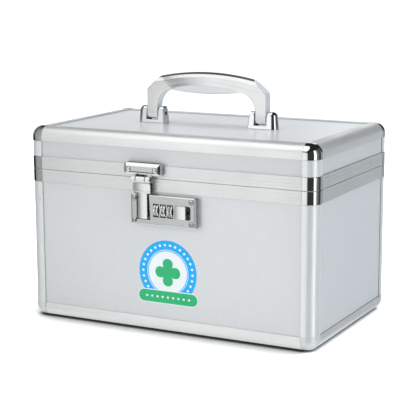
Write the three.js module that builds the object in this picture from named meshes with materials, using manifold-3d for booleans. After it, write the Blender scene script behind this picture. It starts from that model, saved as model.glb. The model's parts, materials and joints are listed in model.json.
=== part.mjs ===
// A lockable medicine box: an aluminium-framed case with chromed corners, a hinged lid,
// a folding handle on top and a three-wheel combination hasp lock on the front.
// Millimetres, +X right, -Y towards the lock, +Z up. The origin is on the standing face,
// in the middle of the box's footprint.
import * as THREE from "three";
import { mergeVertices } from "three/addons/utils/BufferGeometryUtils.js";
import { RoundedBoxGeometry } from "three/addons/geometries/RoundedBoxGeometry.js";
import Module from "manifold-3d";

const wasm = await Module();
wasm.setup();

// Whole case
const case_width = 300;
const case_depth = 180.6;
const case_height = 187.2;
const lid_height = 40.9;

// Fits
const slip = 0.3;
const cut_overrun = 1;
const merge_tolerance = 1e-5;

// Edge extrusion of the posts and of the top and bottom frames
const edge_radius = 10;
const flange_width = 13.5;
const skin_thickness = 1;
const lip_thickness = 1.2;
const slot_depth = 4;
const arc_steps = 5;

// Panels and lining
const panel_thickness = 3;
const lining_thickness = 1.5;
const lining_seam_gap = 1;

// Closing rims at the seam
const seam_gap = 0.6;
const rim_height = 12.2;
const rim_wall = 1.3;
const rim_web = 1.5;
const rim_slot_depth = 7;
const rim_step = 2.4;
const tongue_height = 6;
const tongue_thickness = 1.2;
const tongue_clearance = 0.35;
const groove_width = 0.7;
const groove_depth = 0.15;
const groove_shares = [0.24, 0.5, 0.76];

// Chromed corner pieces
const corner_proud = 0.4;
const corner_thickness = 0.7;
const ball_segments = 4;
const corner_block_share = 4;
const corner_prism_share = 2;

// Rear hinges
const hinge_apart_share = 0.6;
const hinge_width = 40;
const hinge_leaf_height = 24;
const hinge_leaf_thickness = 1.2;
const hinge_axis_out = 3.6;
const hinge_barrel_radius = 2.8;
const hinge_pin_radius = 1;
const hinge_knuckle_share = 0.25;
const hinge_rivet_inset = 7;
const hinge_rivet_height_share = 0.66;
const hinge_pin_head = 0.8;

// Rivet heads
const rivet_radius = 2;
const rivet_rise = 1.3;
const rivet_sides = 12;
const rivet_rings = 3;

// Round pieces
const barrel_sides = 16;
const pin_sides = 10;

// Combination lock on the front of the base
const lock_left = -33.7;
const lock_right = 33.5;
const lock_rim_gap = 2.5;
const lock_height = 28.2;
const lock_face_out = 5.5;
const lock_bevel = 1.3;
const lock_corner_cut = 0.6;
const lock_front_wall = 1.2;
const lock_rivet_inset = 3.7;
const channel_floor_out = 0.2;
const channel_left_gap = 0.5;
const channel_right_gap_top = 2.7;
const channel_right_gap_low = 4;
const channel_end_gap = 0.6;
const lock_plate_thickness = 0.9;
const lock_back_margin = 5;

// Number wheels
const wheel_count = 3;
const wheel_first = -7;
const wheel_pitch = 7.4;
const wheel_width = 4.9;
const wheel_radius = 6;
const wheel_groove_depth = 0.6;
const wheel_axis_out = 1.5;
const wheel_side_gap = 0.7;
const wheel_digits = 10;
const wheel_land_share = 0.7;
const wheel_groove_share = 0.12;

// Slider, its spindle and its spring
const slider_left = 13.4;
const slider_width = 10.6;
const slider_height = 11.6;
const slider_front_out = 6.8;
const slider_crown = 1.1;
const slider_travel = 4.2;
const slider_slot_margin = 0.6;
const slider_slot_end_margin = 0.8;
const slider_slot_corner = 2;
const slider_block_lip = 1.9;
const slider_block_back_out = 0.4;
const slider_block_width = 8.6;
const spindle_radius = 0.9;
const spindle_staple_gap = 0.4;
const spring_radius = 2;
const spring_wire_radius = 0.25;
const spring_turns = 6;
const spring_steps = 8;
const spring_sides = 5;

// Hasp on the lid
const hasp_mid = -22.3;
const hasp_plate_width = 39.2;
const hasp_plate_shift = 1;
const hasp_plate_height = 11.7;
const hasp_plate_rise = 3.6;
const hasp_plate_out = 7;
const hasp_plate_bevel = 2.7;
const hasp_plate_corner_cut = 2.2;
const hasp_face_corner_cut = 0.8;
const hasp_plate_shoulder_out = 4.4;
const hasp_plate_rivet_inset = 4.2;
const hasp_axis_out = 5.6;
const hasp_axis_drop = 0.9;
const hasp_barrel_radius = 3.2;
const hasp_barrel_length = 19.8;
const hasp_knuckle_share = 0.25;
const hasp_pin_radius = 1.2;
const hasp_strap_thickness = 2.2;
const hasp_neck_width = 19.1;
const hasp_neck_gap = 3.6;
const hasp_neck_thickness = 1.3;
const hasp_neck_top_out = 5.3;
const hasp_tongue_width = 10.4;
const hasp_tongue_margin = 5.2;
const hasp_tongue_out = 4.9;
const hasp_tongue_thickness = 1.2;
const hasp_tongue_crown = 0.6;
const staple_thickness = 2.6;
const staple_height = 6.4;
const staple_reach_out = -0.4;
const staple_window_rise = 8;

// Folding handle
const handle_mid = -2.6;
const handle_axis_rise = 9.1;
const handle_half_span = 64.3;
const handle_leg_width = 11;
const handle_leg_depth = 11;
const handle_corner_depth = 11.4;
const handle_grip_depth = 17;
const handle_shoulder_rise = 24.6;
const handle_shoulder_top_rise = 37.4;
const handle_shoulder_top_half = 50.3;
const handle_top_rise = 42.6;
const handle_inner_straight = 5.5;
const handle_inner_crest_rise = 24.4;
const handle_inner_crest_half = 37;
const handle_belly_rise = 21.7;
const handle_end_steps = 3;
const handle_corner_steps = 5;
const handle_grip_steps = 5;
const trunnion_radius = 2;
const trunnion_reach = 3.2;
// Each point is [share of the thickness, share of half the depth], for one side of a section.
const leg_section_shares = [[0, 0.9], [0.06, 1], [0.4, 1], [0.58, 1], [0.78, 1], [0.96, 1], [1, 0.92]];
const grip_section_shares = [
  [0, 0.45], [0.16, 0.82], [0.4, 1], [0.58, 0.93], [0.78, 0.76], [0.95, 0.6], [1, 0.5],
];

// Handle brackets
const bracket_inner_ear_width = 6.6;
const bracket_outer_ear_width = 10.2;
const bracket_leg_gap = 1.2;
const bracket_depth = 12.4;
const bracket_height = 16;
const bracket_floor = 2.9;
const bracket_ear_radius = 4;
const bracket_slot_radius = 1.4;
const bracket_bevel = 0.7;
const bracket_hole_clearance = 0.3;

// Worked out from the sizes above
const slot_width = panel_thickness + 2 * slip;
const slot_inner = skin_thickness + slot_width;
const frame_inner = slot_inner + lip_thickness;
const panel_inset = skin_thickness + slip;
const panel_edge = flange_width - slot_depth + slip;
const lining_inset = frame_inner + slip;
const corner_inner_inset = corner_thickness - corner_proud;
const corner_recess_inset = corner_inner_inset + slip;
const hinge_back_reach = hinge_axis_out + hinge_barrel_radius;
const wheel_front_out = wheel_axis_out + wheel_radius;
const hasp_front_out = hasp_axis_out + hasp_barrel_radius;
const front_reach = Math.max(wheel_front_out, hasp_front_out);
const case_shift = (front_reach - hinge_back_reach) / 2;
const panel_top_height = case_height - panel_inset;
const seam_height = case_height - lid_height;
const hinge_offset = (case_width * hinge_apart_share) / 2;
const lock_high = seam_height - rim_height - lock_rim_gap;
const lock_low = lock_high - lock_height;
const lock_mid_height = (lock_high + lock_low) / 2;
const hasp_axis_height = seam_height - hasp_axis_drop;
const hasp_plate_low = hasp_axis_height + hasp_plate_rise;
const hasp_neck_low = lock_high + hasp_neck_gap;
const hasp_tongue_low = lock_low + hasp_tongue_margin;
const handle_axis_height = panel_top_height + handle_axis_rise;
const quarter_turn = Math.PI / 2;

const frontY = (out) => -case_depth / 2 - out;
const backY = (out) => case_depth / 2 + out;

// Materials, one per kind of surface
function finish(color, roughness, metalness) {
  return new THREE.MeshStandardMaterial({ color, roughness, metalness });
}
const aluminium = finish(0xd6d8d8, 0.45, 0.6);
const panel_silver = finish(0xd3d5d6, 0.6, 0.3);
const chrome = finish(0xe8e8ea, 0.08, 1);
const steel = finish(0xb9bbbd, 0.3, 0.9);
const zinc = finish(0xa9adae, 0.4, 0.8);
const handle_silver = finish(0xcfd2d1, 0.35, 0.4);
const lining_black = finish(0x1c1d1f, 0.95, 0);

// Solids and geometries
function facingOut(positions, triangles) {
  const a = new THREE.Vector3();
  const b = new THREE.Vector3();
  const c = new THREE.Vector3();
  let six_volumes = 0;
  for (let i = 0; i < triangles.length; i += 3) {
    a.fromArray(positions, 3 * triangles[i]);
    b.fromArray(positions, 3 * triangles[i + 1]);
    c.fromArray(positions, 3 * triangles[i + 2]);
    six_volumes += a.dot(b.cross(c));
  }
  if (six_volumes > 0) {
    return triangles;
  }
  const turned = triangles.slice();
  for (let i = 0; i < turned.length; i += 3) {
    turned[i + 1] = triangles[i + 2];
    turned[i + 2] = triangles[i + 1];
  }
  return turned;
}

function toSolid(geometry) {
  const bare = new THREE.BufferGeometry();
  bare.setAttribute("position", geometry.getAttribute("position"));
  bare.setIndex(geometry.getIndex());
  const merged = mergeVertices(bare, merge_tolerance);
  const index = Array.from(merged.getIndex().array);
  const kept = [];
  for (let i = 0; i < index.length; i += 3) {
    const [a, b, c] = index.slice(i, i + 3);
    if (a !== b && b !== c && c !== a) {
      kept.push(a, b, c);
    }
  }
  const vertProperties = new Float32Array(merged.getAttribute("position").array);
  const triVerts = new Uint32Array(facingOut(vertProperties, kept));
  return new wasm.Manifold(new wasm.Mesh({ numProp: 3, vertProperties, triVerts }));
}

function toGeometry(solid) {
  const mesh = solid.getMesh();
  const geometry = new THREE.BufferGeometry();
  geometry.setAttribute("position", new THREE.BufferAttribute(mesh.vertProperties, 3));
  geometry.setIndex(new THREE.BufferAttribute(mesh.triVerts, 1));
  geometry.computeVertexNormals();
  return geometry;
}

function joined(...solids) {
  return solids.reduce((whole, solid) => whole.add(solid));
}

function named(name, solid, material) {
  const mesh = new THREE.Mesh(toGeometry(solid), material);
  mesh.name = name;
  return mesh;
}

function block(low, high) {
  const size = high.map((value, axis) => value - low[axis]);
  const middle = high.map((value, axis) => (value + low[axis]) / 2);
  return toSolid(new THREE.BoxGeometry(...size).translate(...middle));
}

function roundAlongX(radius, low, high, y, z, sides) {
  const geometry = new THREE.CylinderGeometry(radius, radius, high - low, sides);
  return toSolid(geometry.rotateZ(quarter_turn).translate((low + high) / 2, y, z));
}

// A closed surface through rows of points, each row a closed loop. Open rows get end faces.
function looped(rows, closed) {
  const count = rows[0].length;
  const positions = rows.flat().flatMap((point) => [point.x, point.y, point.z]);
  const index = [];
  const spans = closed ? rows.length : rows.length - 1;
  for (let row = 0; row < spans; row += 1) {
    const next = (row + 1) % rows.length;
    for (let i = 0; i < count; i += 1) {
      const j = (i + 1) % count;
      const corners = [row * count + i, row * count + j, next * count + j, next * count + i];
      index.push(corners[0], corners[1], corners[2], corners[0], corners[2], corners[3]);
    }
  }
  if (!closed) {
    addEndFaces(rows, positions, index);
  }
  const geometry = new THREE.BufferGeometry();
  geometry.setAttribute("position", new THREE.Float32BufferAttribute(positions, 3));
  geometry.setIndex(index);
  return toSolid(geometry);
}

function addEndFaces(rows, positions, index) {
  const count = rows[0].length;
  for (const row of [0, rows.length - 1]) {
    const centre = new THREE.Vector3();
    rows[row].forEach((point) => centre.add(point));
    centre.divideScalar(count);
    const hub = positions.length / 3;
    positions.push(centre.x, centre.y, centre.z);
    for (let i = 0; i < count; i += 1) {
      const j = (i + 1) % count;
      const edge = [row * count + i, row * count + j];
      index.push(hub, ...(row === 0 ? edge.reverse() : edge));
    }
  }
}

// A stack of rectangles with cut corners, in X and Z, at rising distances in front of the case.
function frontStack(levels) {
  const rows = levels.map(({ out, left, right, low, high, cut }) => {
    const y = frontY(out);
    const outline = [
      [left + cut, low],
      [right - cut, low],
      [right, low + cut],
      [right, high - cut],
      [right - cut, high],
      [left + cut, high],
      [left, high - cut],
      [left, low + cut],
    ];
    return outline.map(([x, z]) => new THREE.Vector3(x, y, z));
  });
  return looped(rows, false);
}

function shapeFrom(points) {
  return new THREE.Shape(points.map(([x, y]) => new THREE.Vector2(x, y)));
}

function extruded(shape, length) {
  return new THREE.ExtrudeGeometry(shape, { depth: length, bevelEnabled: false });
}

// A profile in Y and Z, run along X.
function alongX(points, low, high) {
  const geometry = extruded(shapeFrom(points), high - low);
  geometry.rotateX(quarter_turn).rotateZ(quarter_turn);
  return toSolid(geometry.translate(low, 0, 0));
}

// Rivet head: a low dome on the plane y = 0, bulging towards -Y.
function rivetHead(x, y, z, towards) {
  const points = [new THREE.Vector2(0, -rivet_rise)];
  points.push(new THREE.Vector2(rivet_radius, -rivet_rise));
  for (let ring = 0; ring < rivet_rings; ring += 1) {
    const angle = (ring / rivet_rings) * quarter_turn;
    points.push(new THREE.Vector2(rivet_radius * Math.cos(angle), rivet_rise * Math.sin(angle)));
  }
  points.push(new THREE.Vector2(0, rivet_rise));
  const geometry = new THREE.LatheGeometry(points, rivet_sides);
  return toSolid(geometry.rotateX(towards * quarter_turn).translate(x, y, z));
}

// Corner geometry is made for a corner at the origin whose outer planes are x = 0 and y = 0.
const corners = [
  { name: "front_left", x: -case_width / 2, y: -case_depth / 2, turns: 0 },
  { name: "front_right", x: case_width / 2, y: -case_depth / 2, turns: 1 },
  { name: "back_right", x: case_width / 2, y: case_depth / 2, turns: 2 },
  { name: "back_left", x: -case_width / 2, y: case_depth / 2, turns: 3 },
];

function atCorner(mesh, corner, height) {
  mesh.rotation.z = corner.turns * quarter_turn;
  mesh.position.set(corner.x, corner.y, height);
  return mesh;
}

// The outer corner line, from one flange to the other, set in by an inset.
function cornerLine(inset, end) {
  const radius = edge_radius - inset;
  const path = new THREE.Path();
  path.moveTo(inset, end);
  path.lineTo(inset, edge_radius);
  path.absarc(edge_radius, edge_radius, radius, Math.PI, 3 * quarter_turn, false);
  path.lineTo(end, inset);
  return path.getPoints(arc_steps).map((point) => [point.x, point.y]);
}

function edgeProfile() {
  const slot_end = flange_width - slot_depth;
  return [
    ...cornerLine(0, flange_width),
    [flange_width, skin_thickness],
    [slot_end, skin_thickness],
    [slot_end, slot_inner],
    [flange_width, slot_inner],
    [flange_width, frame_inner],
    [frame_inner, frame_inner],
    [frame_inner, flange_width],
    [slot_inner, flange_width],
    [slot_inner, slot_end],
    [skin_thickness, slot_end],
    [skin_thickness, flange_width],
  ];
}

// A profile of [inward, up] points, run round the four sides with mitred corners.
function mitredRing(profile) {
  const rows = corners.map((corner) =>
    profile.map(([inward, up]) => {
      const x = corner.x - Math.sign(corner.x) * inward;
      const y = corner.y - Math.sign(corner.y) * inward;
      return new THREE.Vector3(x, y, up);
    }),
  );
  return looped(rows, true);
}

function roundedCorner(inset) {
  const span = corner_block_share * flange_width;
  const radius = edge_radius - inset;
  const geometry = new RoundedBoxGeometry(span, span, span, ball_segments, radius);
  const middle = inset + span / 2;
  return toSolid(geometry.translate(middle, middle, middle));
}

function cornerPrism(inset, low, high) {
  const span = corner_prism_share * flange_width;
  const points = [...cornerLine(inset, span), [span, span]];
  return toSolid(extruded(shapeFrom(points), high - low).translate(0, 0, low));
}

// What a frame loses at a corner so that the corner piece lies over it.
function cornerRecess(low, high, kept) {
  const end = flange_width + slip;
  return block([-cut_overrun, -cut_overrun, low], [end, end, high]).subtract(kept);
}

function recessedAtCorners(ring, recess) {
  const recess_geometry = toGeometry(recess);
  return corners.reduce((whole, corner) => {
    const placed = recess_geometry.clone().rotateZ(corner.turns * quarter_turn);
    return whole.subtract(toSolid(placed.translate(corner.x, corner.y, 0)));
  }, ring);
}

function cornerPieces(prefix, solid, height, material, upside_down) {
  const geometry = toGeometry(solid);
  return corners.map((corner) => {
    const mesh = new THREE.Mesh(geometry, material);
    mesh.name = `${prefix}_${corner.name}`;
    atCorner(mesh, corner, height);
    if (upside_down) {
      mesh.rotation.set(Math.PI, 0, -(corner.turns + 1) * quarter_turn);
    }
    return mesh;
  });
}

// Frames
function bottomFrame() {
  const recess = cornerRecess(-cut_overrun, flange_width + slip, roundedCorner(corner_recess_inset));
  return recessedAtCorners(mitredRing(edgeProfile()), recess);
}

function upsideDown(solid, height) {
  return toSolid(toGeometry(solid).rotateX(Math.PI).translate(0, 0, height));
}

function groovedFace(low, high) {
  const points = [[0, low]];
  for (const share of groove_shares) {
    const middle = low + (high - low) * share;
    points.push([0, middle - groove_width / 2]);
    points.push([groove_depth, middle]);
    points.push([0, middle + groove_width / 2]);
  }
  points.push([0, high]);
  return points;
}

function baseRimProfile() {
  const low = -rim_height;
  const high = -seam_gap / 2;
  const slot_top = low + rim_slot_depth;
  const tongue_outer = rim_wall + tongue_clearance;
  const tongue_inner = tongue_outer + tongue_thickness;
  return [
    ...groovedFace(low, high),
    [tongue_outer, high],
    [tongue_outer, tongue_height],
    [tongue_inner, tongue_height],
    [tongue_inner, high],
    [frame_inner, -rim_step],
    [frame_inner, low],
    [slot_inner, low],
    [slot_inner, slot_top],
    [skin_thickness, slot_top],
    [skin_thickness, low],
  ];
}

const lid_web_low = tongue_height + slip;
const lid_web_high = lid_web_low + rim_web;

function lidRimProfile() {
  const low = seam_gap / 2;
  return [
    ...groovedFace(low, rim_height),
    [skin_thickness, rim_height],
    [skin_thickness, lid_web_high],
    [slot_inner, lid_web_high],
    [slot_inner, rim_height],
    [frame_inner, rim_height],
    [frame_inner, lid_web_low],
    [rim_wall, lid_web_low],
    [rim_wall, low],
  ];
}

function rimFrame(profile) {
  const low = -rim_height - cut_overrun;
  const high = rim_height + cut_overrun;
  const kept = cornerPrism(corner_recess_inset, low - cut_overrun, high + cut_overrun);
  return recessedAtCorners(mitredRing(profile), cornerRecess(low, high, kept));
}

// Corner pieces
function ballCap(low) {
  const shell = roundedCorner(-corner_proud).subtract(roundedCorner(corner_inner_inset));
  const reach = -corner_proud - cut_overrun;
  const keep = block([reach, reach, low], [flange_width, flange_width, flange_width]);
  return shell.intersect(keep);
}

function rimCorner(length) {
  const outer = cornerLine(-corner_proud, flange_width);
  const inner = cornerLine(corner_inner_inset, flange_width).reverse();
  return toSolid(extruded(shapeFrom([...outer, ...inner]), length));
}

// Panels
function sidePanels(prefix, low, high) {
  const half_width = case_width / 2 - panel_edge;
  const half_depth = case_depth / 2 - panel_edge;
  const inner = panel_inset + panel_thickness;
  const front = block([-half_width, frontY(-panel_inset), low], [half_width, frontY(-inner), high]);
  const back = block([-half_width, backY(-inner), low], [half_width, backY(-panel_inset), high]);
  const outer_x = case_width / 2 - panel_inset;
  const inner_x = case_width / 2 - inner;
  const left = block([-outer_x, -half_depth, low], [-inner_x, half_depth, high]);
  const right = block([inner_x, -half_depth, low], [outer_x, half_depth, high]);
  return {
    [`${prefix}_front_panel`]: front,
    [`${prefix}_back_panel`]: back,
    [`${prefix}_left_panel`]: left,
    [`${prefix}_right_panel`]: right,
  };
}

function levelPanel(low) {
  const half_width = case_width / 2 - panel_edge;
  const half_depth = case_depth / 2 - panel_edge;
  return block([-half_width, -half_depth, low], [half_width, half_depth, low + panel_thickness]);
}

function panelMeshes(panels) {
  return Object.entries(panels).map(([name, solid]) => named(name, solid, panel_silver));
}

// Linings: a tray in the base and a tray upside down in the lid
function tray(low, high, open_top) {
  const half_width = case_width / 2 - lining_inset;
  const half_depth = case_depth / 2 - lining_inset;
  const inner_width = half_width - lining_thickness;
  const inner_depth = half_depth - lining_thickness;
  const hollow_low = open_top ? low + lining_thickness : low - cut_overrun;
  const hollow_high = open_top ? high + cut_overrun : high - lining_thickness;
  const outside = block([-half_width, -half_depth, low], [half_width, half_depth, high]);
  return outside.subtract(
    block([-inner_width, -inner_depth, hollow_low], [inner_width, inner_depth, hollow_high]),
  );
}

// Rear hinges. The lower leaf has the two outer knuckles and the upper leaf the middle one.
function knuckle(middle_x, low_share, high_share, y, z, sizes) {
  const low = middle_x + (low_share - 1 / 2) * sizes.length + (low_share > 0 ? slip / 2 : 0);
  const high = middle_x + (high_share - 1 / 2) * sizes.length - (high_share < 1 ? slip / 2 : 0);
  return roundAlongX(sizes.radius, low, high, y, z, barrel_sides);
}

function hingeLeaf(x, upper) {
  const y = backY(hinge_axis_out);
  const z = seam_height;
  const sizes = { length: hinge_width, radius: hinge_barrel_radius };
  const direction = upper ? 1 : -1;
  const far = z + direction * hinge_leaf_height;
  const low = Math.min(z, far);
  const high = Math.max(z, far);
  const half = hinge_width / 2;
  const leaf = block([x - half, backY(slip), low], [x + half, backY(slip + hinge_leaf_thickness), high]);
  const share = hinge_knuckle_share;
  const own = upper ? [[share, 1 - share]] : [[0, share], [1 - share, 1]];
  const other = upper ? [[0, share], [1 - share, 1]] : [[share, 1 - share]];
  const clear = hinge_barrel_radius + slip;
  let solid = leaf;
  for (const [from, to] of other) {
    const left = from > 0 ? x + (from - 1 / 2) * hinge_width - slip / 2 : x - half - cut_overrun;
    const right = to < 1 ? x + (to - 1 / 2) * hinge_width + slip / 2 : x + half + cut_overrun;
    solid = solid.subtract(
      block([left, backY(0), z - clear], [right, backY(hinge_axis_out), z + clear]),
    );
  }
  for (const [from, to] of own) {
    solid = solid.add(knuckle(x, from, to, y, z, sizes));
  }
  const bore_low = x - half - cut_overrun;
  const bore_high = x + half + cut_overrun;
  solid = solid.subtract(
    roundAlongX(hinge_pin_radius + slip, bore_low, bore_high, y, z, barrel_sides),
  );
  const rivet_z = z + direction * hinge_leaf_height * hinge_rivet_height_share;
  for (const side of [-1, 1]) {
    const rivet_x = x + side * (half - hinge_rivet_inset);
    const rivet_y = backY(slip + hinge_leaf_thickness);
    solid = solid.add(rivetHead(rivet_x, rivet_y, rivet_z, -1));
  }
  return solid.subtract(block(
    [x - half, backY(slip - rivet_rise - hinge_leaf_thickness), low],
    [x + half, backY(slip), high],
  ));
}

function hingePin(x) {
  const y = backY(hinge_axis_out);
  const half = hinge_width / 2;
  const shank = roundAlongX(hinge_pin_radius, x - half, x + half, y, seam_height, pin_sides);
  const head_radius = hinge_pin_radius + slip + hinge_pin_head;
  const head_low = x + half + slip;
  const head = roundAlongX(head_radius, head_low, head_low + hinge_pin_head, y, seam_height, pin_sides);
  const neck = roundAlongX(hinge_pin_radius, x, head_low + slip, y, seam_height, pin_sides);
  return joined(shank, neck, head);
}

// Combination lock
const lock_back_out = -skin_thickness;
const wheel_cut_half_height = wheel_radius + slip;
const wheel_cut_half_width = wheel_width / 2 + wheel_side_gap;
const wheel_middles = Array.from({ length: wheel_count }, (_, i) => wheel_first + i * wheel_pitch);
const last_wheel = wheel_middles[wheel_count - 1];
const slider_right = slider_left + slider_width;
const slider_slot_left = slider_left - slider_slot_margin;
const slider_slot_right = slider_right + slider_travel + slider_slot_end_margin;
const slider_slot_half = slider_height / 2 + slider_slot_margin;
const slider_pocket_right = lock_right - lock_front_wall;
const slider_pocket_half = slider_slot_half + slider_block_lip;
const staple_left = hasp_mid - staple_thickness / 2;
const staple_right = hasp_mid + staple_thickness / 2;

function frontBlock(left, right, back_out, out, low, high) {
  return block([left, frontY(out), low], [right, frontY(back_out), high]);
}

// The slot is square at the left, under the slider, and has rounded corners at the right.
function sliderSlot() {
  const corner = slider_slot_corner;
  const shape = new THREE.Shape();
  shape.moveTo(slider_slot_left, -slider_slot_half);
  shape.lineTo(slider_slot_right - corner, -slider_slot_half);
  shape.absarc(slider_slot_right - corner, corner - slider_slot_half, corner, -quarter_turn, 0, false);
  shape.absarc(slider_slot_right - corner, slider_slot_half - corner, corner, 0, quarter_turn, false);
  shape.lineTo(slider_slot_left, slider_slot_half);
  const out = lock_face_out + cut_overrun;
  const back = lock_face_out - lock_front_wall - slip;
  const geometry = new THREE.ExtrudeGeometry(shape, {
    depth: out - back,
    bevelEnabled: false,
    curveSegments: arc_steps,
  });
  geometry.rotateX(quarter_turn).translate(0, frontY(back), lock_mid_height);
  return toSolid(geometry);
}

// The channel that the hasp's tongue lies in. It is open at the top and widens downwards.
function tongueChannel() {
  const left = hasp_mid - hasp_tongue_width / 2 - channel_left_gap;
  const right = hasp_mid + hasp_tongue_width / 2;
  const low = hasp_tongue_low - channel_end_gap;
  const high = lock_high + cut_overrun;
  const out = lock_face_out + cut_overrun;
  const shape = shapeFrom([
    [left, low],
    [right + channel_right_gap_low, low],
    [right + channel_right_gap_top, high],
    [left, high],
  ]);
  const geometry = extruded(shape, out - channel_floor_out);
  return toSolid(geometry.rotateX(quarter_turn).translate(0, frontY(channel_floor_out), 0));
}

function lockBody() {
  const full = {
    left: lock_left,
    right: lock_right,
    low: lock_low,
    high: lock_high,
    cut: lock_corner_cut,
  };
  const face = {
    left: lock_left + lock_bevel,
    right: lock_right - lock_bevel,
    low: lock_low + lock_bevel,
    high: lock_high - lock_bevel,
    cut: lock_corner_cut,
  };
  return frontStack([
    { out: lock_back_out, ...full },
    { out: lock_face_out - lock_bevel, ...full },
    { out: lock_face_out, ...face },
  ]);
}

function lockHousing() {
  let housing = lockBody().subtract(tongueChannel());
  const through_out = lock_face_out + cut_overrun;
  const behind = lock_back_out - cut_overrun;
  for (const middle of wheel_middles) {
    housing = housing.subtract(frontBlock(
      middle - wheel_cut_half_width, middle + wheel_cut_half_width, behind, through_out,
      lock_mid_height - wheel_cut_half_height, lock_mid_height + wheel_cut_half_height,
    ));
  }
  housing = housing.subtract(sliderSlot());
  housing = housing.subtract(frontBlock(
    slider_slot_left, slider_pocket_right, behind, lock_face_out - lock_front_wall,
    lock_mid_height - slider_pocket_half, lock_mid_height + slider_pocket_half,
  ));
  housing = housing.subtract(roundAlongX(
    spindle_radius + slip, hasp_mid, slider_slot_left + cut_overrun,
    frontY(wheel_axis_out), lock_mid_height, barrel_sides,
  ));
  housing = housing.subtract(frontBlock(
    staple_left - slip, staple_right + slip, behind, channel_floor_out + cut_overrun,
    lock_mid_height - staple_height / 2 - slip, lock_mid_height + staple_height / 2 + staple_window_rise,
  ));
  for (const x of [lock_left + lock_rivet_inset, lock_right - lock_rivet_inset]) {
    for (const z of [lock_low + lock_rivet_inset, lock_high - lock_rivet_inset]) {
      housing = housing.add(rivetHead(x, frontY(lock_face_out), z, 1));
    }
  }
  return housing;
}

function lockBackPlate() {
  const inner = panel_inset + panel_thickness;
  const near = -Math.max(inner, wheel_radius - wheel_axis_out) - slip;
  const low = lock_low + lock_back_margin;
  const high = lock_high - lock_back_margin;
  const left = lock_left + lock_back_margin;
  const right = lock_right - lock_back_margin;
  return frontBlock(left, right, near - lock_plate_thickness, near, low, high);
}

function numberWheel(middle) {
  const step = (2 * Math.PI) / wheel_digits;
  const points = [];
  for (let digit = 0; digit < wheel_digits; digit += 1) {
    const land = (wheel_land_share / 2) * step;
    const groove = (wheel_groove_share / 2) * step;
    const angle = digit * step;
    for (const [offset, radius] of [
      [-land, wheel_radius],
      [land, wheel_radius],
      [step / 2 - groove, wheel_radius - wheel_groove_depth],
      [step / 2 + groove, wheel_radius - wheel_groove_depth],
    ]) {
      points.push([radius * Math.cos(angle + offset), radius * Math.sin(angle + offset)]);
    }
  }
  const low = middle - wheel_width / 2;
  const high = middle + wheel_width / 2;
  const y = frontY(wheel_axis_out);
  const placed = points.map(([a, b]) => [y + a, lock_mid_height + b]);
  const bore_radius = spindle_radius + slip;
  const bore = roundAlongX(
    bore_radius, low - cut_overrun, high + cut_overrun, y, lock_mid_height, pin_sides,
  );
  return alongX(placed, low, high).subtract(bore);
}

function lockSlider() {
  const low = lock_mid_height - slider_height / 2;
  const high = lock_mid_height + slider_height / 2;
  const block_front = lock_face_out - lock_front_wall - slip;
  const full = { left: slider_left, right: slider_right, low, high, cut: slip };
  const crown = {
    left: slider_left + slider_crown,
    right: slider_right - slider_crown,
    low: low + slider_crown,
    high: high - slider_crown,
    cut: slip,
  };
  const knob = frontStack([
    { out: block_front - slip, ...full },
    { out: slider_front_out - slider_crown, ...full },
    { out: slider_front_out, ...crown },
  ]);
  const half = slider_pocket_half - slip;
  const block_left = slider_slot_left + slip;
  const carriage = frontBlock(
    block_left, block_left + slider_block_width, slider_block_back_out, block_front,
    lock_mid_height - half, lock_mid_height + half,
  );
  const spindle_left = staple_right + spindle_staple_gap;
  const spindle = roundAlongX(
    spindle_radius, spindle_left, block_left + slip, frontY(wheel_axis_out), lock_mid_height, pin_sides,
  );
  return joined(knob, carriage, spindle);
}

// The spring is one wire wound in a helix along X.
function lockSpring() {
  const left = slider_slot_left + slip + slider_block_width + slip + spring_wire_radius;
  const right = slider_pocket_right - slip - spring_wire_radius;
  const count = spring_turns * spring_steps;
  const rows = [];
  for (let i = 0; i <= count; i += 1) {
    const angle = (i / spring_steps) * 2 * Math.PI;
    const x = left + ((right - left) * i) / count;
    const ring = [];
    for (let side = 0; side < spring_sides; side += 1) {
      const turn = (side / spring_sides) * 2 * Math.PI;
      const radius = spring_radius + spring_wire_radius * Math.cos(turn);
      ring.push(new THREE.Vector3(
        x + spring_wire_radius * Math.sin(turn),
        frontY(wheel_axis_out) + radius * Math.cos(angle),
        lock_mid_height + radius * Math.sin(angle),
      ));
    }
    rows.push(ring);
  }
  return looped(rows, false);
}

// Hasp: a plate with two knuckles on the lid, and a leaf with one, a neck, a tongue and a staple
const hasp_sizes = { length: hasp_barrel_length, radius: hasp_barrel_radius };
const hasp_left = hasp_mid - hasp_barrel_length / 2;
const hasp_right = hasp_mid + hasp_barrel_length / 2;

function haspBore() {
  return roundAlongX(
    hasp_pin_radius + slip, hasp_left - cut_overrun, hasp_right + cut_overrun,
    frontY(hasp_axis_out), hasp_axis_height, barrel_sides,
  );
}

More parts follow.
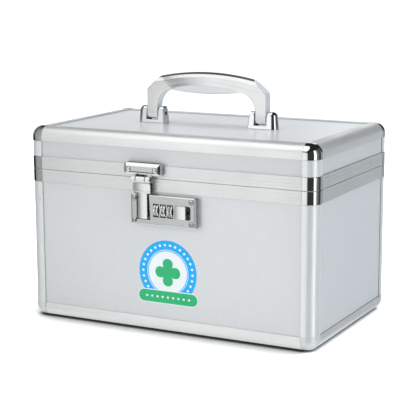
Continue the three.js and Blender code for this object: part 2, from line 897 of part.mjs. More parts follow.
function haspPlate() {
  const left = hasp_mid + hasp_plate_shift - hasp_plate_width / 2;
  const right = left + hasp_plate_width;
  const high = hasp_plate_low + hasp_plate_height;
  const inset = hasp_plate_bevel;
  const full = { left, right, low: hasp_plate_low, high, cut: hasp_plate_corner_cut };
  const face = {
    left: left + inset,
    right: right - inset,
    low: hasp_plate_low + inset,
    high: high - inset,
    cut: hasp_face_corner_cut,
  };
  let plate = frontStack([
    { out: slip, ...full },
    { out: hasp_plate_shoulder_out, ...full },
    { out: hasp_plate_out, ...face },
  ]);
  const y = frontY(hasp_axis_out);
  const share = hasp_knuckle_share;
  for (const [from, to] of [[0, share], [1 - share, 1]]) {
    const strap_left = hasp_left + from * hasp_barrel_length + (from > 0 ? slip / 2 : 0);
    const strap_right = hasp_left + to * hasp_barrel_length - (to < 1 ? slip / 2 : 0);
    const strap_out = hasp_axis_out - hasp_pin_radius - slip;
    plate = plate.add(knuckle(hasp_mid, from, to, y, hasp_axis_height, hasp_sizes));
    plate = plate.add(frontBlock(
      strap_left, strap_right, strap_out - hasp_strap_thickness, strap_out,
      hasp_axis_height, hasp_plate_low + hasp_plate_bevel,
    ));
  }
  plate = plate.subtract(haspBore());
  for (const x of [left + hasp_plate_rivet_inset, right - hasp_plate_rivet_inset]) {
    plate = plate.add(rivetHead(x, frontY(hasp_plate_out), (hasp_plate_low + high) / 2, 1));
  }
  return plate;
}

function haspPin() {
  return roundAlongX(
    hasp_pin_radius, hasp_left, hasp_right, frontY(hasp_axis_out), hasp_axis_height, pin_sides,
  );
}

function haspNeck() {
  const points = [
    [hasp_neck_top_out, hasp_axis_height],
    [hasp_neck_top_out, hasp_axis_height - hasp_barrel_radius],
    [hasp_tongue_out, hasp_neck_low],
    [hasp_tongue_out - hasp_neck_thickness, hasp_neck_low],
    [hasp_neck_top_out - hasp_neck_thickness, hasp_axis_height - hasp_barrel_radius],
    [hasp_neck_top_out - hasp_neck_thickness, hasp_axis_height],
  ];
  const left = hasp_mid - hasp_neck_width / 2;
  const right = hasp_mid + hasp_neck_width / 2;
  const below = haspNeckTrim();
  return alongX(points.map(([out, z]) => [frontY(out), z]), left, right).subtract(below);
}

// The neck is narrower where it passes between the plate's knuckles.
function haspNeckTrim() {
  const share = hasp_knuckle_share;
  const inner_left = hasp_left + share * hasp_barrel_length + slip / 2;
  const inner_right = hasp_right - share * hasp_barrel_length - slip / 2;
  const reach = hasp_barrel_radius + slip;
  const low = hasp_axis_height - reach;
  const high = hasp_axis_height + reach;
  const back = hasp_axis_out - reach;
  const out = hasp_axis_out + reach;
  const outer_left = hasp_left - reach;
  const outer_right = hasp_right + reach;
  return joined(
    frontBlock(outer_left, inner_left, back, out, low, high),
    frontBlock(inner_right, outer_right, back, out, low, high),
  );
}

// The tongue is a strip with a crown across its width.
function haspTongue() {
  const half = hasp_tongue_width / 2;
  const columns = 2 * arc_steps;
  const front = [];
  const back = [];
  for (let i = 0; i <= columns; i += 1) {
    const share = (2 * i) / columns - 1;
    const out = hasp_tongue_out - hasp_tongue_crown * share * share;
    front.push(new THREE.Vector2(hasp_mid + share * half, out));
    back.push(new THREE.Vector2(hasp_mid + share * half, out - hasp_tongue_thickness));
  }
  const shape = new THREE.Shape([...front, ...back.reverse()]);
  const high = hasp_neck_low + hasp_neck_thickness;
  const geometry = extruded(shape, high - hasp_tongue_low);
  const rows = geometry.getAttribute("position");
  for (let i = 0; i < rows.count; i += 1) {
    rows.setXYZ(i, rows.getX(i), frontY(rows.getY(i)), hasp_tongue_low + rows.getZ(i));
  }
  return toSolid(geometry);
}

function staple() {
  const low = lock_mid_height - staple_height / 2;
  const high = lock_mid_height + staple_height / 2;
  const root_out = hasp_tongue_out - hasp_tongue_thickness / 2;
  const loop = frontBlock(staple_left, staple_right, staple_reach_out, root_out, low, high);
  const eye_radius = spindle_radius + slip;
  const eye = roundAlongX(
    eye_radius, staple_left - cut_overrun, staple_right + cut_overrun,
    frontY(wheel_axis_out), lock_mid_height, pin_sides,
  );
  return loop.subtract(eye);
}

function hasp() {
  const y = frontY(hasp_axis_out);
  const share = hasp_knuckle_share;
  const barrel = knuckle(hasp_mid, share, 1 - share, y, hasp_axis_height, hasp_sizes);
  return joined(barrel, haspNeck()).subtract(haspBore()).add(haspTongue()).add(staple());
}

// Handle: sections between an outer and an inner line, from one leg over the grip to the other
function blendShares(from, to, share) {
  return from.map(([across, deep], i) => [
    across + (to[i][0] - across) * share,
    deep + (to[i][1] - deep) * share,
  ]);
}

function handleSection({ outer, inner, depth, grip_share }) {
  const half = blendShares(leg_section_shares, grip_section_shares, grip_share);
  const mirrored = half.map(([across, deep]) => [across, -deep]).reverse();
  return [...half, ...mirrored].map(([across, deep]) => {
    const x = inner[0] + (outer[0] - inner[0]) * across;
    const z = inner[1] + (outer[1] - inner[1]) * across;
    return new THREE.Vector3(x, (deep * depth) / 2, z);
  });
}

function topRise(x) {
  const share = x / handle_shoulder_top_half;
  return handle_top_rise - (handle_top_rise - handle_shoulder_top_rise) * share * share;
}

function bellyRise(x) {
  const swell = 1 - (x / handle_inner_crest_half) ** 2;
  return handle_inner_crest_rise - (handle_inner_crest_rise - handle_belly_rise) * swell;
}

// Stations of the right half, from the leg's end to the middle of the grip
function handleStations() {
  const leg_inner = handle_half_span - handle_leg_width;
  const stations = [];
  for (let i = 0; i < handle_end_steps; i += 1) {
    const angle = ((i + 1 / 2) / handle_end_steps) * quarter_turn;
    const z = (-handle_leg_depth / 2) * Math.cos(angle);
    const depth = handle_leg_depth * Math.sin(angle);
    stations.push({ outer: [handle_half_span, z], inner: [leg_inner, z], depth, grip_share: 0 });
  }
  const straight = [0, handle_inner_straight];
  for (const z of straight) {
    const depth = handle_leg_depth;
    stations.push({ outer: [handle_half_span, z], inner: [leg_inner, z], depth, grip_share: 0 });
  }
  for (let i = 1; i <= handle_corner_steps; i += 1) {
    stations.push(cornerStation(i / handle_corner_steps));
  }
  for (let i = 1; i <= handle_grip_steps; i += 1) {
    const share = 1 - i / handle_grip_steps;
    const outer_x = handle_shoulder_top_half * share;
    const inner_x = handle_inner_crest_half * share;
    const swell = 1 - share * share;
    const depth = handle_corner_depth + (handle_grip_depth - handle_corner_depth) * swell;
    stations.push({
      outer: [outer_x, topRise(outer_x)],
      inner: [inner_x, bellyRise(inner_x)],
      depth,
      grip_share: 1,
    });
  }
  return stations;
}

// Outside, the corner is straight up and then chamfered; inside, it is a quarter ellipse.
function cornerStation(share) {
  const turn = share * quarter_turn;
  const leg_inner = handle_half_span - handle_leg_width;
  const across = leg_inner - handle_inner_crest_half;
  const rise = handle_inner_crest_rise - handle_inner_straight;
  const inner = [
    handle_inner_crest_half + across * Math.cos(turn),
    handle_inner_straight + rise * Math.sin(turn),
  ];
  const straight_share = 2 / handle_corner_steps;
  const up_share = Math.min(share / straight_share, 1);
  const over_share = Math.max((share - straight_share) / (1 - straight_share), 0);
  const outer = [
    handle_half_span - (handle_half_span - handle_shoulder_top_half) * over_share,
    handle_inner_straight + (handle_shoulder_rise - handle_inner_straight) * up_share
      + (handle_shoulder_top_rise - handle_shoulder_rise) * over_share,
  ];
  const depth = handle_leg_depth + (handle_corner_depth - handle_leg_depth) * share;
  return { outer, inner, depth, grip_share: over_share };
}

function handle() {
  const right = handleStations();
  const left = right.slice(0, -1).map((station) => ({
    ...station,
    outer: [-station.outer[0], station.outer[1]],
    inner: [-station.inner[0], station.inner[1]],
  }));
  const rows = [...left, ...right.slice().reverse()].map(handleSection);
  const leg_inner = handle_half_span - handle_leg_width;
  let solid = looped(rows, false);
  for (const side of [-1, 1]) {
    const ends = [side * (leg_inner - trunnion_reach), side * (handle_half_span + trunnion_reach)];
    solid = solid.add(
      roundAlongX(trunnion_radius, Math.min(...ends), Math.max(...ends), 0, 0, barrel_sides),
    );
  }
  return solid;
}

// Bracket: a U seen from the front, with rounded ears and blind holes for the handle's trunnions.
// The ear on the outer side is the wider one.
function handleBracket(middle) {
  const leg_half = handle_leg_width / 2 + bracket_leg_gap;
  const left_ear = middle < 0 ? bracket_outer_ear_width : bracket_inner_ear_width;
  const right_ear = middle < 0 ? bracket_inner_ear_width : bracket_outer_ear_width;
  const left = -leg_half - left_ear;
  const right = leg_half + right_ear;
  const bevel = bracket_bevel;
  const radius = bracket_ear_radius - bevel;
  const slot_radius = bracket_slot_radius - bevel;
  const top = bracket_height - bevel;
  const shape = new THREE.Shape();
  shape.moveTo(left + bevel, bevel);
  shape.lineTo(right - bevel, bevel);
  shape.lineTo(right - bevel, top - radius);
  shape.absarc(right - bevel - radius, top - radius, radius, 0, quarter_turn, false);
  shape.absarc(
    leg_half + bevel + slot_radius, top - slot_radius, slot_radius, quarter_turn, 2 * quarter_turn, false,
  );
  shape.lineTo(leg_half + bevel, bracket_floor - bevel);
  shape.lineTo(-leg_half - bevel, bracket_floor - bevel);
  shape.absarc(-leg_half - bevel - slot_radius, top - slot_radius, slot_radius, 0, quarter_turn, false);
  shape.absarc(left + bevel + radius, top - radius, radius, quarter_turn, 2 * quarter_turn, false);
  const geometry = new THREE.ExtrudeGeometry(shape, {
    depth: bracket_depth - 2 * bevel,
    bevelEnabled: true,
    bevelThickness: bevel,
    bevelSize: bevel,
    bevelSegments: 1,
    curveSegments: 2 * arc_steps,
  });
  geometry.rotateX(quarter_turn);
  geometry.translate(middle, bracket_depth / 2 - bevel, panel_top_height + slip);
  const axis = handle_axis_height;
  const hole_reach = leg_half + trunnion_reach - bracket_leg_gap + bracket_hole_clearance;
  const hole = roundAlongX(
    trunnion_radius + bracket_hole_clearance, middle - hole_reach, middle + hole_reach,
    0, axis, barrel_sides,
  );
  return toSolid(geometry).subtract(hole);
}

// Base of the case
function buildBase() {
  const base = new THREE.Group();
  const low = panel_edge;
  const high = seam_height - rim_height + rim_slot_depth - slip;
  const panels = sidePanels("base", low, high);
  const first = wheel_first - wheel_cut_half_width;
  const last = last_wheel + wheel_cut_half_width;
  panels.base_front_panel = panels.base_front_panel.subtract(frontBlock(
    first, last, -panel_inset - panel_thickness - cut_overrun, 0,
    lock_mid_height - wheel_cut_half_height, lock_mid_height + wheel_cut_half_height,
  ));
  panels.base_bottom_panel = levelPanel(panel_inset);
  base.add(...panelMeshes(panels));

  const post_low = flange_width + slip;
  const post_length = seam_height - rim_height - slip - post_low;
  const post = toSolid(extruded(shapeFrom(edgeProfile()), post_length));
  base.add(...cornerPieces("base_post", post, post_low, aluminium, false));
  base.add(named("base_bottom_frame", bottomFrame(), aluminium));

  const rim = named("base_rim_frame", rimFrame(baseRimProfile()), aluminium);
  rim.position.z = seam_height;
  base.add(rim);
  const corner = rimCorner(rim_height - seam_gap / 2);
  base.add(...cornerPieces("base_rim_corner", corner, seam_height - rim_height, chrome, false));
  base.add(...cornerPieces("base_corner_cap", ballCap(0), 0, aluminium, false));
  const lining = tray(lining_inset, seam_height - lining_seam_gap, true);
  base.add(named("base_lining", lining, lining_black));
  return base;
}

// Lid of the case
function buildLid() {
  const lid = new THREE.Group();
  const low = seam_height + lid_web_high + slip;
  const high = case_height - panel_edge;
  const panels = sidePanels("lid", low, high);
  panels.lid_top_panel = levelPanel(panel_top_height - panel_thickness);
  lid.add(...panelMeshes(panels));

  const post_low = seam_height + rim_height + slip;
  const post_length = case_height - flange_width - slip - post_low;
  const post = toSolid(extruded(shapeFrom(edgeProfile()), post_length));
  lid.add(...cornerPieces("lid_post", post, post_low, aluminium, false));
  lid.add(named("lid_top_frame", upsideDown(bottomFrame(), case_height), aluminium));

  const rim = named("lid_rim_frame", rimFrame(lidRimProfile()), aluminium);
  rim.position.z = seam_height;
  lid.add(rim);
  const corner_low = seam_height + seam_gap / 2;
  const corner = rimCorner(rim_height - seam_gap / 2);
  lid.add(...cornerPieces("lid_rim_corner", corner, corner_low, chrome, false));
  const cap = ballCap(-corner_proud - cut_overrun);
  lid.add(...cornerPieces("lid_corner_cap", cap, case_height, chrome, true));
  const lining = tray(seam_height + lining_seam_gap, case_height - lining_inset, false);
  lid.add(named("lid_lining", lining, lining_black));
  return lid;
}

function buildHinges() {
  const hinges = new THREE.Group();
  for (const [side, name] of [[-1, "left"], [1, "right"]]) {
    const x = side * hinge_offset;
    hinges.add(named(`hinge_base_leaf_${name}`, hingeLeaf(x, false), steel));
    hinges.add(named(`hinge_lid_leaf_${name}`, hingeLeaf(x, true), steel));
    hinges.add(named(`hinge_pin_${name}`, hingePin(x), steel));
  }
  return hinges;
}

function buildLock() {
  const lock = new THREE.Group();
  lock.add(named("lock_housing", lockHousing(), zinc));
  lock.add(named("lock_back_plate", lockBackPlate(), steel));
  lock.add(named("lock_slider", lockSlider(), chrome));
  lock.add(named("lock_return_spring", lockSpring(), steel));
  wheel_middles.forEach((middle, i) => {
    lock.add(named(`lock_wheel_${i + 1}`, numberWheel(middle), chrome));
  });
  lock.add(named("hasp_plate", haspPlate(), chrome));
  lock.add(named("hasp_pin", haspPin(), steel));
  lock.add(named("hasp", hasp(), chrome));
  return lock;
}

function buildHandle() {
  const group = new THREE.Group();
  const grip = named("handle", handle(), handle_silver);
  grip.position.set(handle_mid, 0, handle_axis_height);
  group.add(grip);
  for (const [side, name] of [[-1, "left"], [1, "right"]]) {
    const middle = handle_mid + side * (handle_half_span - handle_leg_width / 2);
    group.add(named(`handle_bracket_${name}`, handleBracket(middle), chrome));
  }
  return group;
}

const box = new THREE.Group();
box.position.y = case_shift;
box.add(buildBase(), buildLid(), buildHinges(), buildLock(), buildHandle());

export default box;
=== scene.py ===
"""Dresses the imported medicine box: finer handle, corners, lock and hasp, the printed badge,
surface finishes, studio floor, lamps, reflected surround and the camera."""

import json
from math import copysign, cos, pi, radians, sin, sqrt, tan

import bmesh
import bpy
from mathutils import Matrix, Vector


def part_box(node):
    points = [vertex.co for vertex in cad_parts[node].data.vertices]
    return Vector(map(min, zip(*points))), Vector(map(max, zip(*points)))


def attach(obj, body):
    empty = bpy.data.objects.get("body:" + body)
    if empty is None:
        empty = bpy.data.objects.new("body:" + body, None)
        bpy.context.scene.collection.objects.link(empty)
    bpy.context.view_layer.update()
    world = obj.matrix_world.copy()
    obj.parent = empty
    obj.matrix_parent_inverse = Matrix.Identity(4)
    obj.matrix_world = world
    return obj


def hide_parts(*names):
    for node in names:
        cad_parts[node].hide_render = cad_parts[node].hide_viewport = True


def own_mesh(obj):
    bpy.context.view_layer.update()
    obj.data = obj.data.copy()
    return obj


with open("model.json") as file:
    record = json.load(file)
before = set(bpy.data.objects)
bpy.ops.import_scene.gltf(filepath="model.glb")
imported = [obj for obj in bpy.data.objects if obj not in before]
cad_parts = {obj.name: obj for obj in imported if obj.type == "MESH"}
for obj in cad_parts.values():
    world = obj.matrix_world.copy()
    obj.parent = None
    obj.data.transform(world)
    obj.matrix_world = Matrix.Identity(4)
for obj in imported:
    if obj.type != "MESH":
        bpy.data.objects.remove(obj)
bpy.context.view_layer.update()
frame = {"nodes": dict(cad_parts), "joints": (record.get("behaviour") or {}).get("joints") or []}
nodes = frame["nodes"]
joints = {joint["name"]: joint for joint in frame["joints"]}

# Camera, from a fit to the box's edges
camera_place = (0.581338, -1.128070, 0.350296)
camera_yaw = radians(27.342)
camera_pitch = radians(10.979)
camera_roll = radians(-0.192)
camera_lens = 113.6
sensor_width = 36

# Case, in metres like every size here
edge_radius = 0.010
flange_width = 0.0135
panel_inset = 0.0013
corner_proud = 0.0004
corner_reach = edge_radius + corner_proud
corner_thickness = 0.0007
corner_steps = 14
corner_edge = 0.00012
corner_merge = 0.000012
cap_edge_angle = radians(50)

# Rounded edges of the carried-over nodes
smooth_angle = radians(32)
edge_angle = radians(38)
fine_edge = 0.00016
soft_edge = 0.00035
edge_segments = 2

# Round pieces
fit = 0.0003
barrel_sides = 40
box_corner_steps = 6
rivet_radius = 0.0021
rivet_rise = 0.0013
rivet_skirt = 0.0003
rivet_sides = 28
rivet_steps = 8
# A dark ring round each rivet's foot paints the shade there
rivet_shade_ring = 0.0004
rivet_shade_ring_rise = 0.00008

# Lock
lock_face_out = 0.0055
lock_front_wall = 0.0012
lock_rivet_inset = 0.0037
lock_rim_corner = 0.0014
lock_rim_profile = [(-0.00005, 0.0030), (-0.00005, 0.0047), (0.00005, 0.0051), (0.0003, 0.0054),
                    (0.0007, 0.00554), (0.0010, 0.00556), (0.0010, 0.0030)]
channel_left = -0.0286
channel_right = -0.0141
wheel_axis_out = 0.0015
wheel_radius = 0.00615
wheel_width = 0.0049
wheel_digits = 10
wheel_land_share = 0.72
wheel_groove_share = 0.14
wheel_groove_depth = 0.0006
wheel_chamfer = 0.00035
# Thin dark discs on each wheel's sides paint the shade in the window's gaps
wheel_shade_flank_half = 0.00006
digit_height = 0.0036
digit_raise = 0.00003
digit_depth = 0.00006
digit_stretch = 1.25
digit_bold = 0.00015
digit_curve_steps = 3
digit_shift = 3
slider_width = 0.0122
slider_height = 0.0121
slider_left = 0.0122
slider_corner = 0.0009
slider_profile = [(0, 0.0040), (0, 0.0060), (0.0002, 0.0062)]
slider_face_out = 0.0071
slider_face_crown = 0.0009
slider_face_thickness = 0.001
slider_face_inset = 0.0001
carriage_left = 0.0131
carriage_width = 0.0086
carriage_back = 0.0004
carriage_half = 0.008
spindle_radius = 0.0009
spring_wire_radius = 0.00025
spring_turns = 6
spring_steps = 20
spring_sides = 8

# Hasp
hasp_mid = -0.0223
plate_width = 0.0392
plate_height = 0.0117
plate_shift = 0.001
plate_rise = 0.0036
plate_corner = 0.0028
plate_profile = [(0, 0.0047), (0.0001, 0.0049), (0.0004, 0.0052), (0.0008, 0.0055), (0.0021, 0.0063),
                 (0.0025, 0.0066), (0.00285, 0.0068), (0.0031, 0.00695)]
side_profile = [(0, 0.0003), (0, 0.0047)]
face_profile = [(0.0031, 0.0068), (0.0031, 0.00698), (0.0034, 0.0070)]
plate_rivet_inset = 0.0057
plate_rivet_drop = 0.0003
# Dark strips of painted shade and painted reflection on the hasp plate
line_half = 0.0004
line_rise = 0.0001
line_end = 0.0062
shade_out = 0.0060
shade_top = 0.0007
shade_shift = -0.00135
strip_flat_share = 0.4
strip_columns = 16
# A dark block behind the hasp's neck paints the shade beside it
hasp_shade_block_out = 0.0022
hasp_shade_block_inset = 0.0002
hasp_axis_out = 0.0056
barrel_radius = 0.0032
barrel_length = 0.0198
knuckle_share = 0.25
knuckle_half = (1 / 2 - knuckle_share) * barrel_length - fit
hasp_pin_radius = 0.0012
strap_thickness = 0.0022
strap_top = 0.0024
neck_width = 0.0191
neck_bend = 0.0012
neck_fold = 0.0024
neck_drop = 0.0130
neck_corner = 0.0016
neck_thickness = 0.0013
neck_crown = 0.0013
neck_steps = 12
tongue_width = 0.0108
tongue_shift = -0.0002
tongue_length = 0.0240
tongue_out = 0.0049
tongue_crown = 0.0008
tongue_thickness = 0.0012
staple_thickness = 0.0026
staple_height = 0.0064
staple_reach_out = -0.0004

# Handle
half_span = 0.0643
leg_width = 0.011
leg_inner = half_span - leg_width
leg_half = 0.0056
leg_straight = 0.0055
shoulder_rise = 0.0246
top_rise = 0.0374
top_half = 0.0503
grip_top_rise = 0.0426
crest_rise = 0.0244
crest_half = 0.037
belly_rise = 0.0217
leg_steps = 4
leg_end_steps = 8
shoulder_steps = 24
grip_steps = 30
straight_share = 0.4
handle_edge = 0.0005
handle_inner_edge = 0.0013
handle_edge_steps = 3
cut_share = 0.42
slope_share = 0.42
side_share = 0.4
band_step = 0.00025
# Distances below the top line, the half depth there at the shoulders, and what the middle adds to it
handle_bands = [(0, 0.0006, 0), (0.0014, 0.0034, 0.0016), (0.0044, 0.0053, 0.0022), (0.0047, 0.0050, 0.0022),
                (0.0050, 0.0054, 0.0022), (0.0087, 0.0056, 0.0024), (0.0090, 0.0053, 0.0024),
                (0.0093, 0.0056, 0.0025), (0.0124, 0.0056, 0.0027)]
swell_power = 1.6
bottom_power = 0.8
bottom_half = 0.0042
trunnion_radius = 0.002
trunnion_reach = 0.0032

# Brackets
bracket_gap = 0.0012
slot_half = leg_width / 2 + bracket_gap
ear_width = 0.0066
outer_ear_width = 0.0102
bracket_depth = 0.0124
bracket_height = 0.016
bracket_floor = 0.0029
ear_outer_radius = 0.0042
ear_inner_radius = 0.0014
ear_slot_radius = 0.0012
# How far the outer side, the inner side and the top are rounded over the bracket's depth
bracket_rounds = (0.0056, 0.0010, 0.0032)
round_power = 1.75
bracket_edge = 0.00025
arc_steps = 8
depth_steps = 18
bracket_taper = tan(radians(6))
pin_radius = 0.0019
pin_out = 0.0002
pin_depth = 0.0008

# Badge on the front panel
badge_x = 0.001
badge_z = 0.058
badge_radius = 0.0305
badge_inner_radius = 0.0203
line_outer = 0.0218
line_inner = 0.0212
dot_radius = 0.0012
dot_place = 0.0262
dot_count = 30
petal_count = 4
petal_long = 0.0066
petal_wide = 0.0052
petal_place = 0.0066
petal_flare_share = 0.25
petal_lift_share = 0.1
bar_half = 0.0312
bar_low = 0.0282
bar_high = 0.0398
bar_line = 0.0008
bar_steps = 16
bar_dot_radius = 0.0011
bar_dot_pitch = 0.0056
bar_dot_count = 9
print_layer = 0.00004
print_sides = 96
dot_sides = 16

# Studio
floor_size = 8.0
floor_drop = 0.0006
floor_roughness = 0.9
floor_mirror_share = 0.2
shade_reach = 0.045
shade_samples = 16
# How much lighter the floor's painted shadow gets beside the box, from what x to what x
floor_side_painted_light = (0, 0.42, 0.136, 0.150)
# What the floor's openness, between the last two values, makes of its glow and its tone: the painted shadow
# close to the box
floor_glow = (0, 0.62, 0.40, 0.92)
floor_shadow_tones = (0, 1, 0.25, 0.85)
floor_painted_shadow = (0.03, 0.03, 0.034)
floor_light = (0.80, 0.80, 0.80)
surround_radius = 0.65
surround_steps = 64
surround_rings = 40
glow_least = 0.02
glow_fade = radians(3)
# Degrees from the front towards the right, each with the light's level there
glow_levels = [
    (-180, 0.95), (-150, 0.88), (-130, 0.70), (-120, 0.13), (-76, 0.13), (-66, 0.25), (-40, 0.34),
    (-36.5, 0.74), (-24, 1.04), (-13, 1.04), (-5, 0.84), (5, 0.76), (9, 0.018), (58, 0.018), (61, 1.6),
    (75, 1.6), (79, 0.28), (90, 0.16), (104, 0.06), (118, 0.02), (127, 0.02), (134, 0.34), (166, 0.34),
    (174, 0.90), (180, 0.90),
]
# The same directions, with the height of the lit band's top in degrees
glow_tops = [
    (-180, 45), (-165, 30), (-130, 31), (-100, 52), (-80, 62), (-46, 62), (-38, 44), (-24, 40), (0, 37),
    (5, 31), (30, 44), (100, 44), (134, 44), (140, 19), (166, 19), (174, 45), (180, 45),
]
# The same, with half the height of a dark belt at the level of the eye. Below 0 there is none.
glow_belts = [(-180, -5), (-152, -5), (-142, 17), (-73, 17), (-68, -5), (180, -5)]
# The same, with the light's cast
glow_casts = [(-180, (0.95, 0.97, 1.0)), (0, (1.0, 1.0, 0.99)), (138, (0.95, 0.97, 1.0)),
                  (145, (0.90, 0.94, 1.0)), (180, (0.90, 0.94, 1.0))]
bounce_level = 0.85
bounce_angles = (-28, -18)
softbox_azimuth = radians(-26)
softbox_elevation = radians(65)
softbox_distance = 0.60
softbox_width = 0.54
softbox_height = 0.56
softbox_strength = 1.2
world_colour = (0.95, 0.98, 1.0)
world_strength = 0.5
white = (1, 1, 1)
lamp_target = Vector((0, 0, 0.12))
# Each lamp's name, place, width, height, power and colour
lamps = [
    ("key_left", (-1.1, -1.5, 0.8), 1.0, 1.0, 15, white),
    ("top", (0.0, 0.1, 1.7), 1.4, 1.2, 24, (0.97, 0.99, 1.0)),
    ("fill_right", (1.6, -0.3, 0.4), 0.8, 0.8, 12.5, (0.84, 0.92, 1.0)),
]

# Finishes. Colours are linear. A noise is its scale, detail and roughness, then its stretch along x, y and z.
# The lid's panels take a darker copy of the same laminate, which paints the shade on them
panels = {"panel_laminate": (0.665, 0.68, 0.687), "lid_panel_laminate_shaded": (0.628, 0.640, 0.645)}
flake_noise = (2400, 1)
flake_tones = (-0.15, 0.15)
cast_noise = (9, 3)
cast_tones = (0.35, 0.65)
panel_tones = (0.95, 1.04)
panel_gloss = (0.27, 0.33)
panel_relief = (0.03, 0.00004)
panel_metallic = 0.30
# Painted shade where a panel goes behind an edge, put on the case's two sides alone
joint_depth = 0.0014
joint_samples = 8
joint_open_shares = (0.5, 0.85)
joint_shade_colour = (0.10, 0.10, 0.10)
hair_noise = (1100, 3, 0.6)
hair_tones = (0.95, 1.03)
hair_mix = (0.1, 0.9)
hair_gloss = (0.88, 1.12)
hair_depth = 0.00004
cloud_noise = (26, 2)
aluminium_colour = (0.81, 0.825, 0.815)
nickel_colour = (0.66, 0.66, 0.67)
# Drawn metals: colour, metallic, roughness from and to, strength of the relief, stretch of the hairlines
metals = {
    "edge_aluminium_rail": (aluminium_colour, 0.72, 0.34, 0.44, 0.012, (0.05, 0.05, 1)),
    # A lighter copy of the frames' aluminium, painted light for the top and bottom frames
    "edge_aluminium": ((0.885, 0.895, 0.885), 0.72, 0.34, 0.44, 0.012, (0.05, 0.05, 1)),
    "edge_aluminium_post": (aluminium_colour, 0.45, 0.29, 0.37, 0.012, (1, 1, 0.05)),
    "corner_satin": ((0.735, 0.75, 0.755), 0.45, 0.42, 0.52, 0.05),
    "hinge_steel": (nickel_colour, 1, 0.2, 0.32, 0.05, (0.1, 1, 1)),
    "lock_steel": (nickel_colour, 1, 0.2, 0.3, 0.05),
    "rivet_steel": ((0.92, 0.90, 0.86), 0.8, 0.24, 0.34, 0.05),
    "hasp_chrome": ((0.86, 0.87, 0.865), 1, 0.14, 0.22, 0.02),
    # A darker copy of the hasp chrome, which paints the shade on the plate's face
    "hasp_satin_shaded": ((0.62, 0.635, 0.625), 1, 0.18, 0.26, 0.02),
    "slider_steel": ((0.86, 0.86, 0.845), 1, 0.18, 0.26, 0.02),
    "wheel_steel": ((0.80, 0.80, 0.78), 1, 0.16, 0.30, 0.05),
    "blackened_steel": ((0.06, 0.06, 0.07), 0.9, 0.3, 0.4, 0.05),
    # A bluer, more matt copy of the handle's silver, which paints the light on the handle's faces to the
    # sides
    "handle_side_lit_copy": ((0.80, 0.82, 0.84), 0.45, 0.3, 0.4, 0.05),
}
# Cast, moulded and printed: colour, grain, wear, tones, roughness, strength and depth of the relief, metallic
ink = ((1400, 2), (1400, 2), (0.96, 1.03), (0.38, 0.5), (0.05, 0.00003), 0)
brushed = (900, 3, 0.5, (0.08, 1, 1))
mouldings = {
    "lock_zinc": ((0.56, 0.58, 0.58), brushed, brushed, (0.88, 1.08), (0.24, 0.36), (0.12, 0.00006), 0.95),
    "handle_silver": ((0.80, 0.81, 0.81), (1200, 2), (35, 3), (1, 0.95), (0.14, 0.2), (0.03, 0.00003), 0.93),
    "badge_blue": ((0.0, 0.40, 0.86), *ink),
    "badge_green": ((0.02, 0.44, 0.17), *ink),
    "badge_white": ((0.82, 0.86, 0.88), *ink),
    "digit_ink": ((0.015, 0.015, 0.017), *ink),
}
chrome_colour = (0.90, 0.91, 0.92)
chrome_tones = (1, 0.96)
haze_noise = (60, 4, 0.6)
haze_gloss = (0.03, 0.10, 0.4, 0.75)
wave_noise = (140, 1)
wave_relief = (0.08, 0.0002)
felt_colour = (0.018, 0.019, 0.021)
felt_tones = (1, 3)
felt_roughness = 0.95
felt_sheen_share = 0.35
felt_sheen_roughness = 0.5
fibre_noise = (1800, 4, 0.7)
fibre_relief = (0.6, 0.0003)
patch_noise = (40, 3)
patch_tones = (0.7, 1.3)
# Words in a carried-over node's name, its finish and its rounding if it has its own. The first fit counts.
carried = [
    ("top panel", "panel_laminate"),
    ("lid panel", "lid_panel_laminate_shaded"),
    ("panel", "panel_laminate"),
    ("post", "edge_aluminium_post"),
    ("top_frame", "edge_aluminium"),
    ("bottom_frame", "edge_aluminium"),
    ("frame", "edge_aluminium_rail"),
    ("lining", "lining_fabric", soft_edge),
    ("hinge", "hinge_steel"),
    ("housing", "lock_zinc", soft_edge),
    ("spring", "blackened_steel", 0),
    ("", "lock_steel"),
]

# Places taken from the frame
front_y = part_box("base_rim_frame")[0].y
lock_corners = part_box("lock_housing")
lock_box = (lock_corners[0].x, lock_corners[1].x, lock_corners[0].z, lock_corners[1].z)
hasp_axis_z = joints["hasp_hinge"]["pos_m"][2]
handle_place = Vector(joints["handle_pivot"]["pos_m"])
wheel_places = [Vector(joints[f"wheel_{i}_spin"]["pos_m"]) for i in (1, 2, 3)]
lock_mid_z = wheel_places[0].z


def settled(thing, **values):
    """Sets properties of a thing and gives it back."""
    for key, value in values.items():
        setattr(thing, key, value)
    return thing


# Materials
finishes = {}


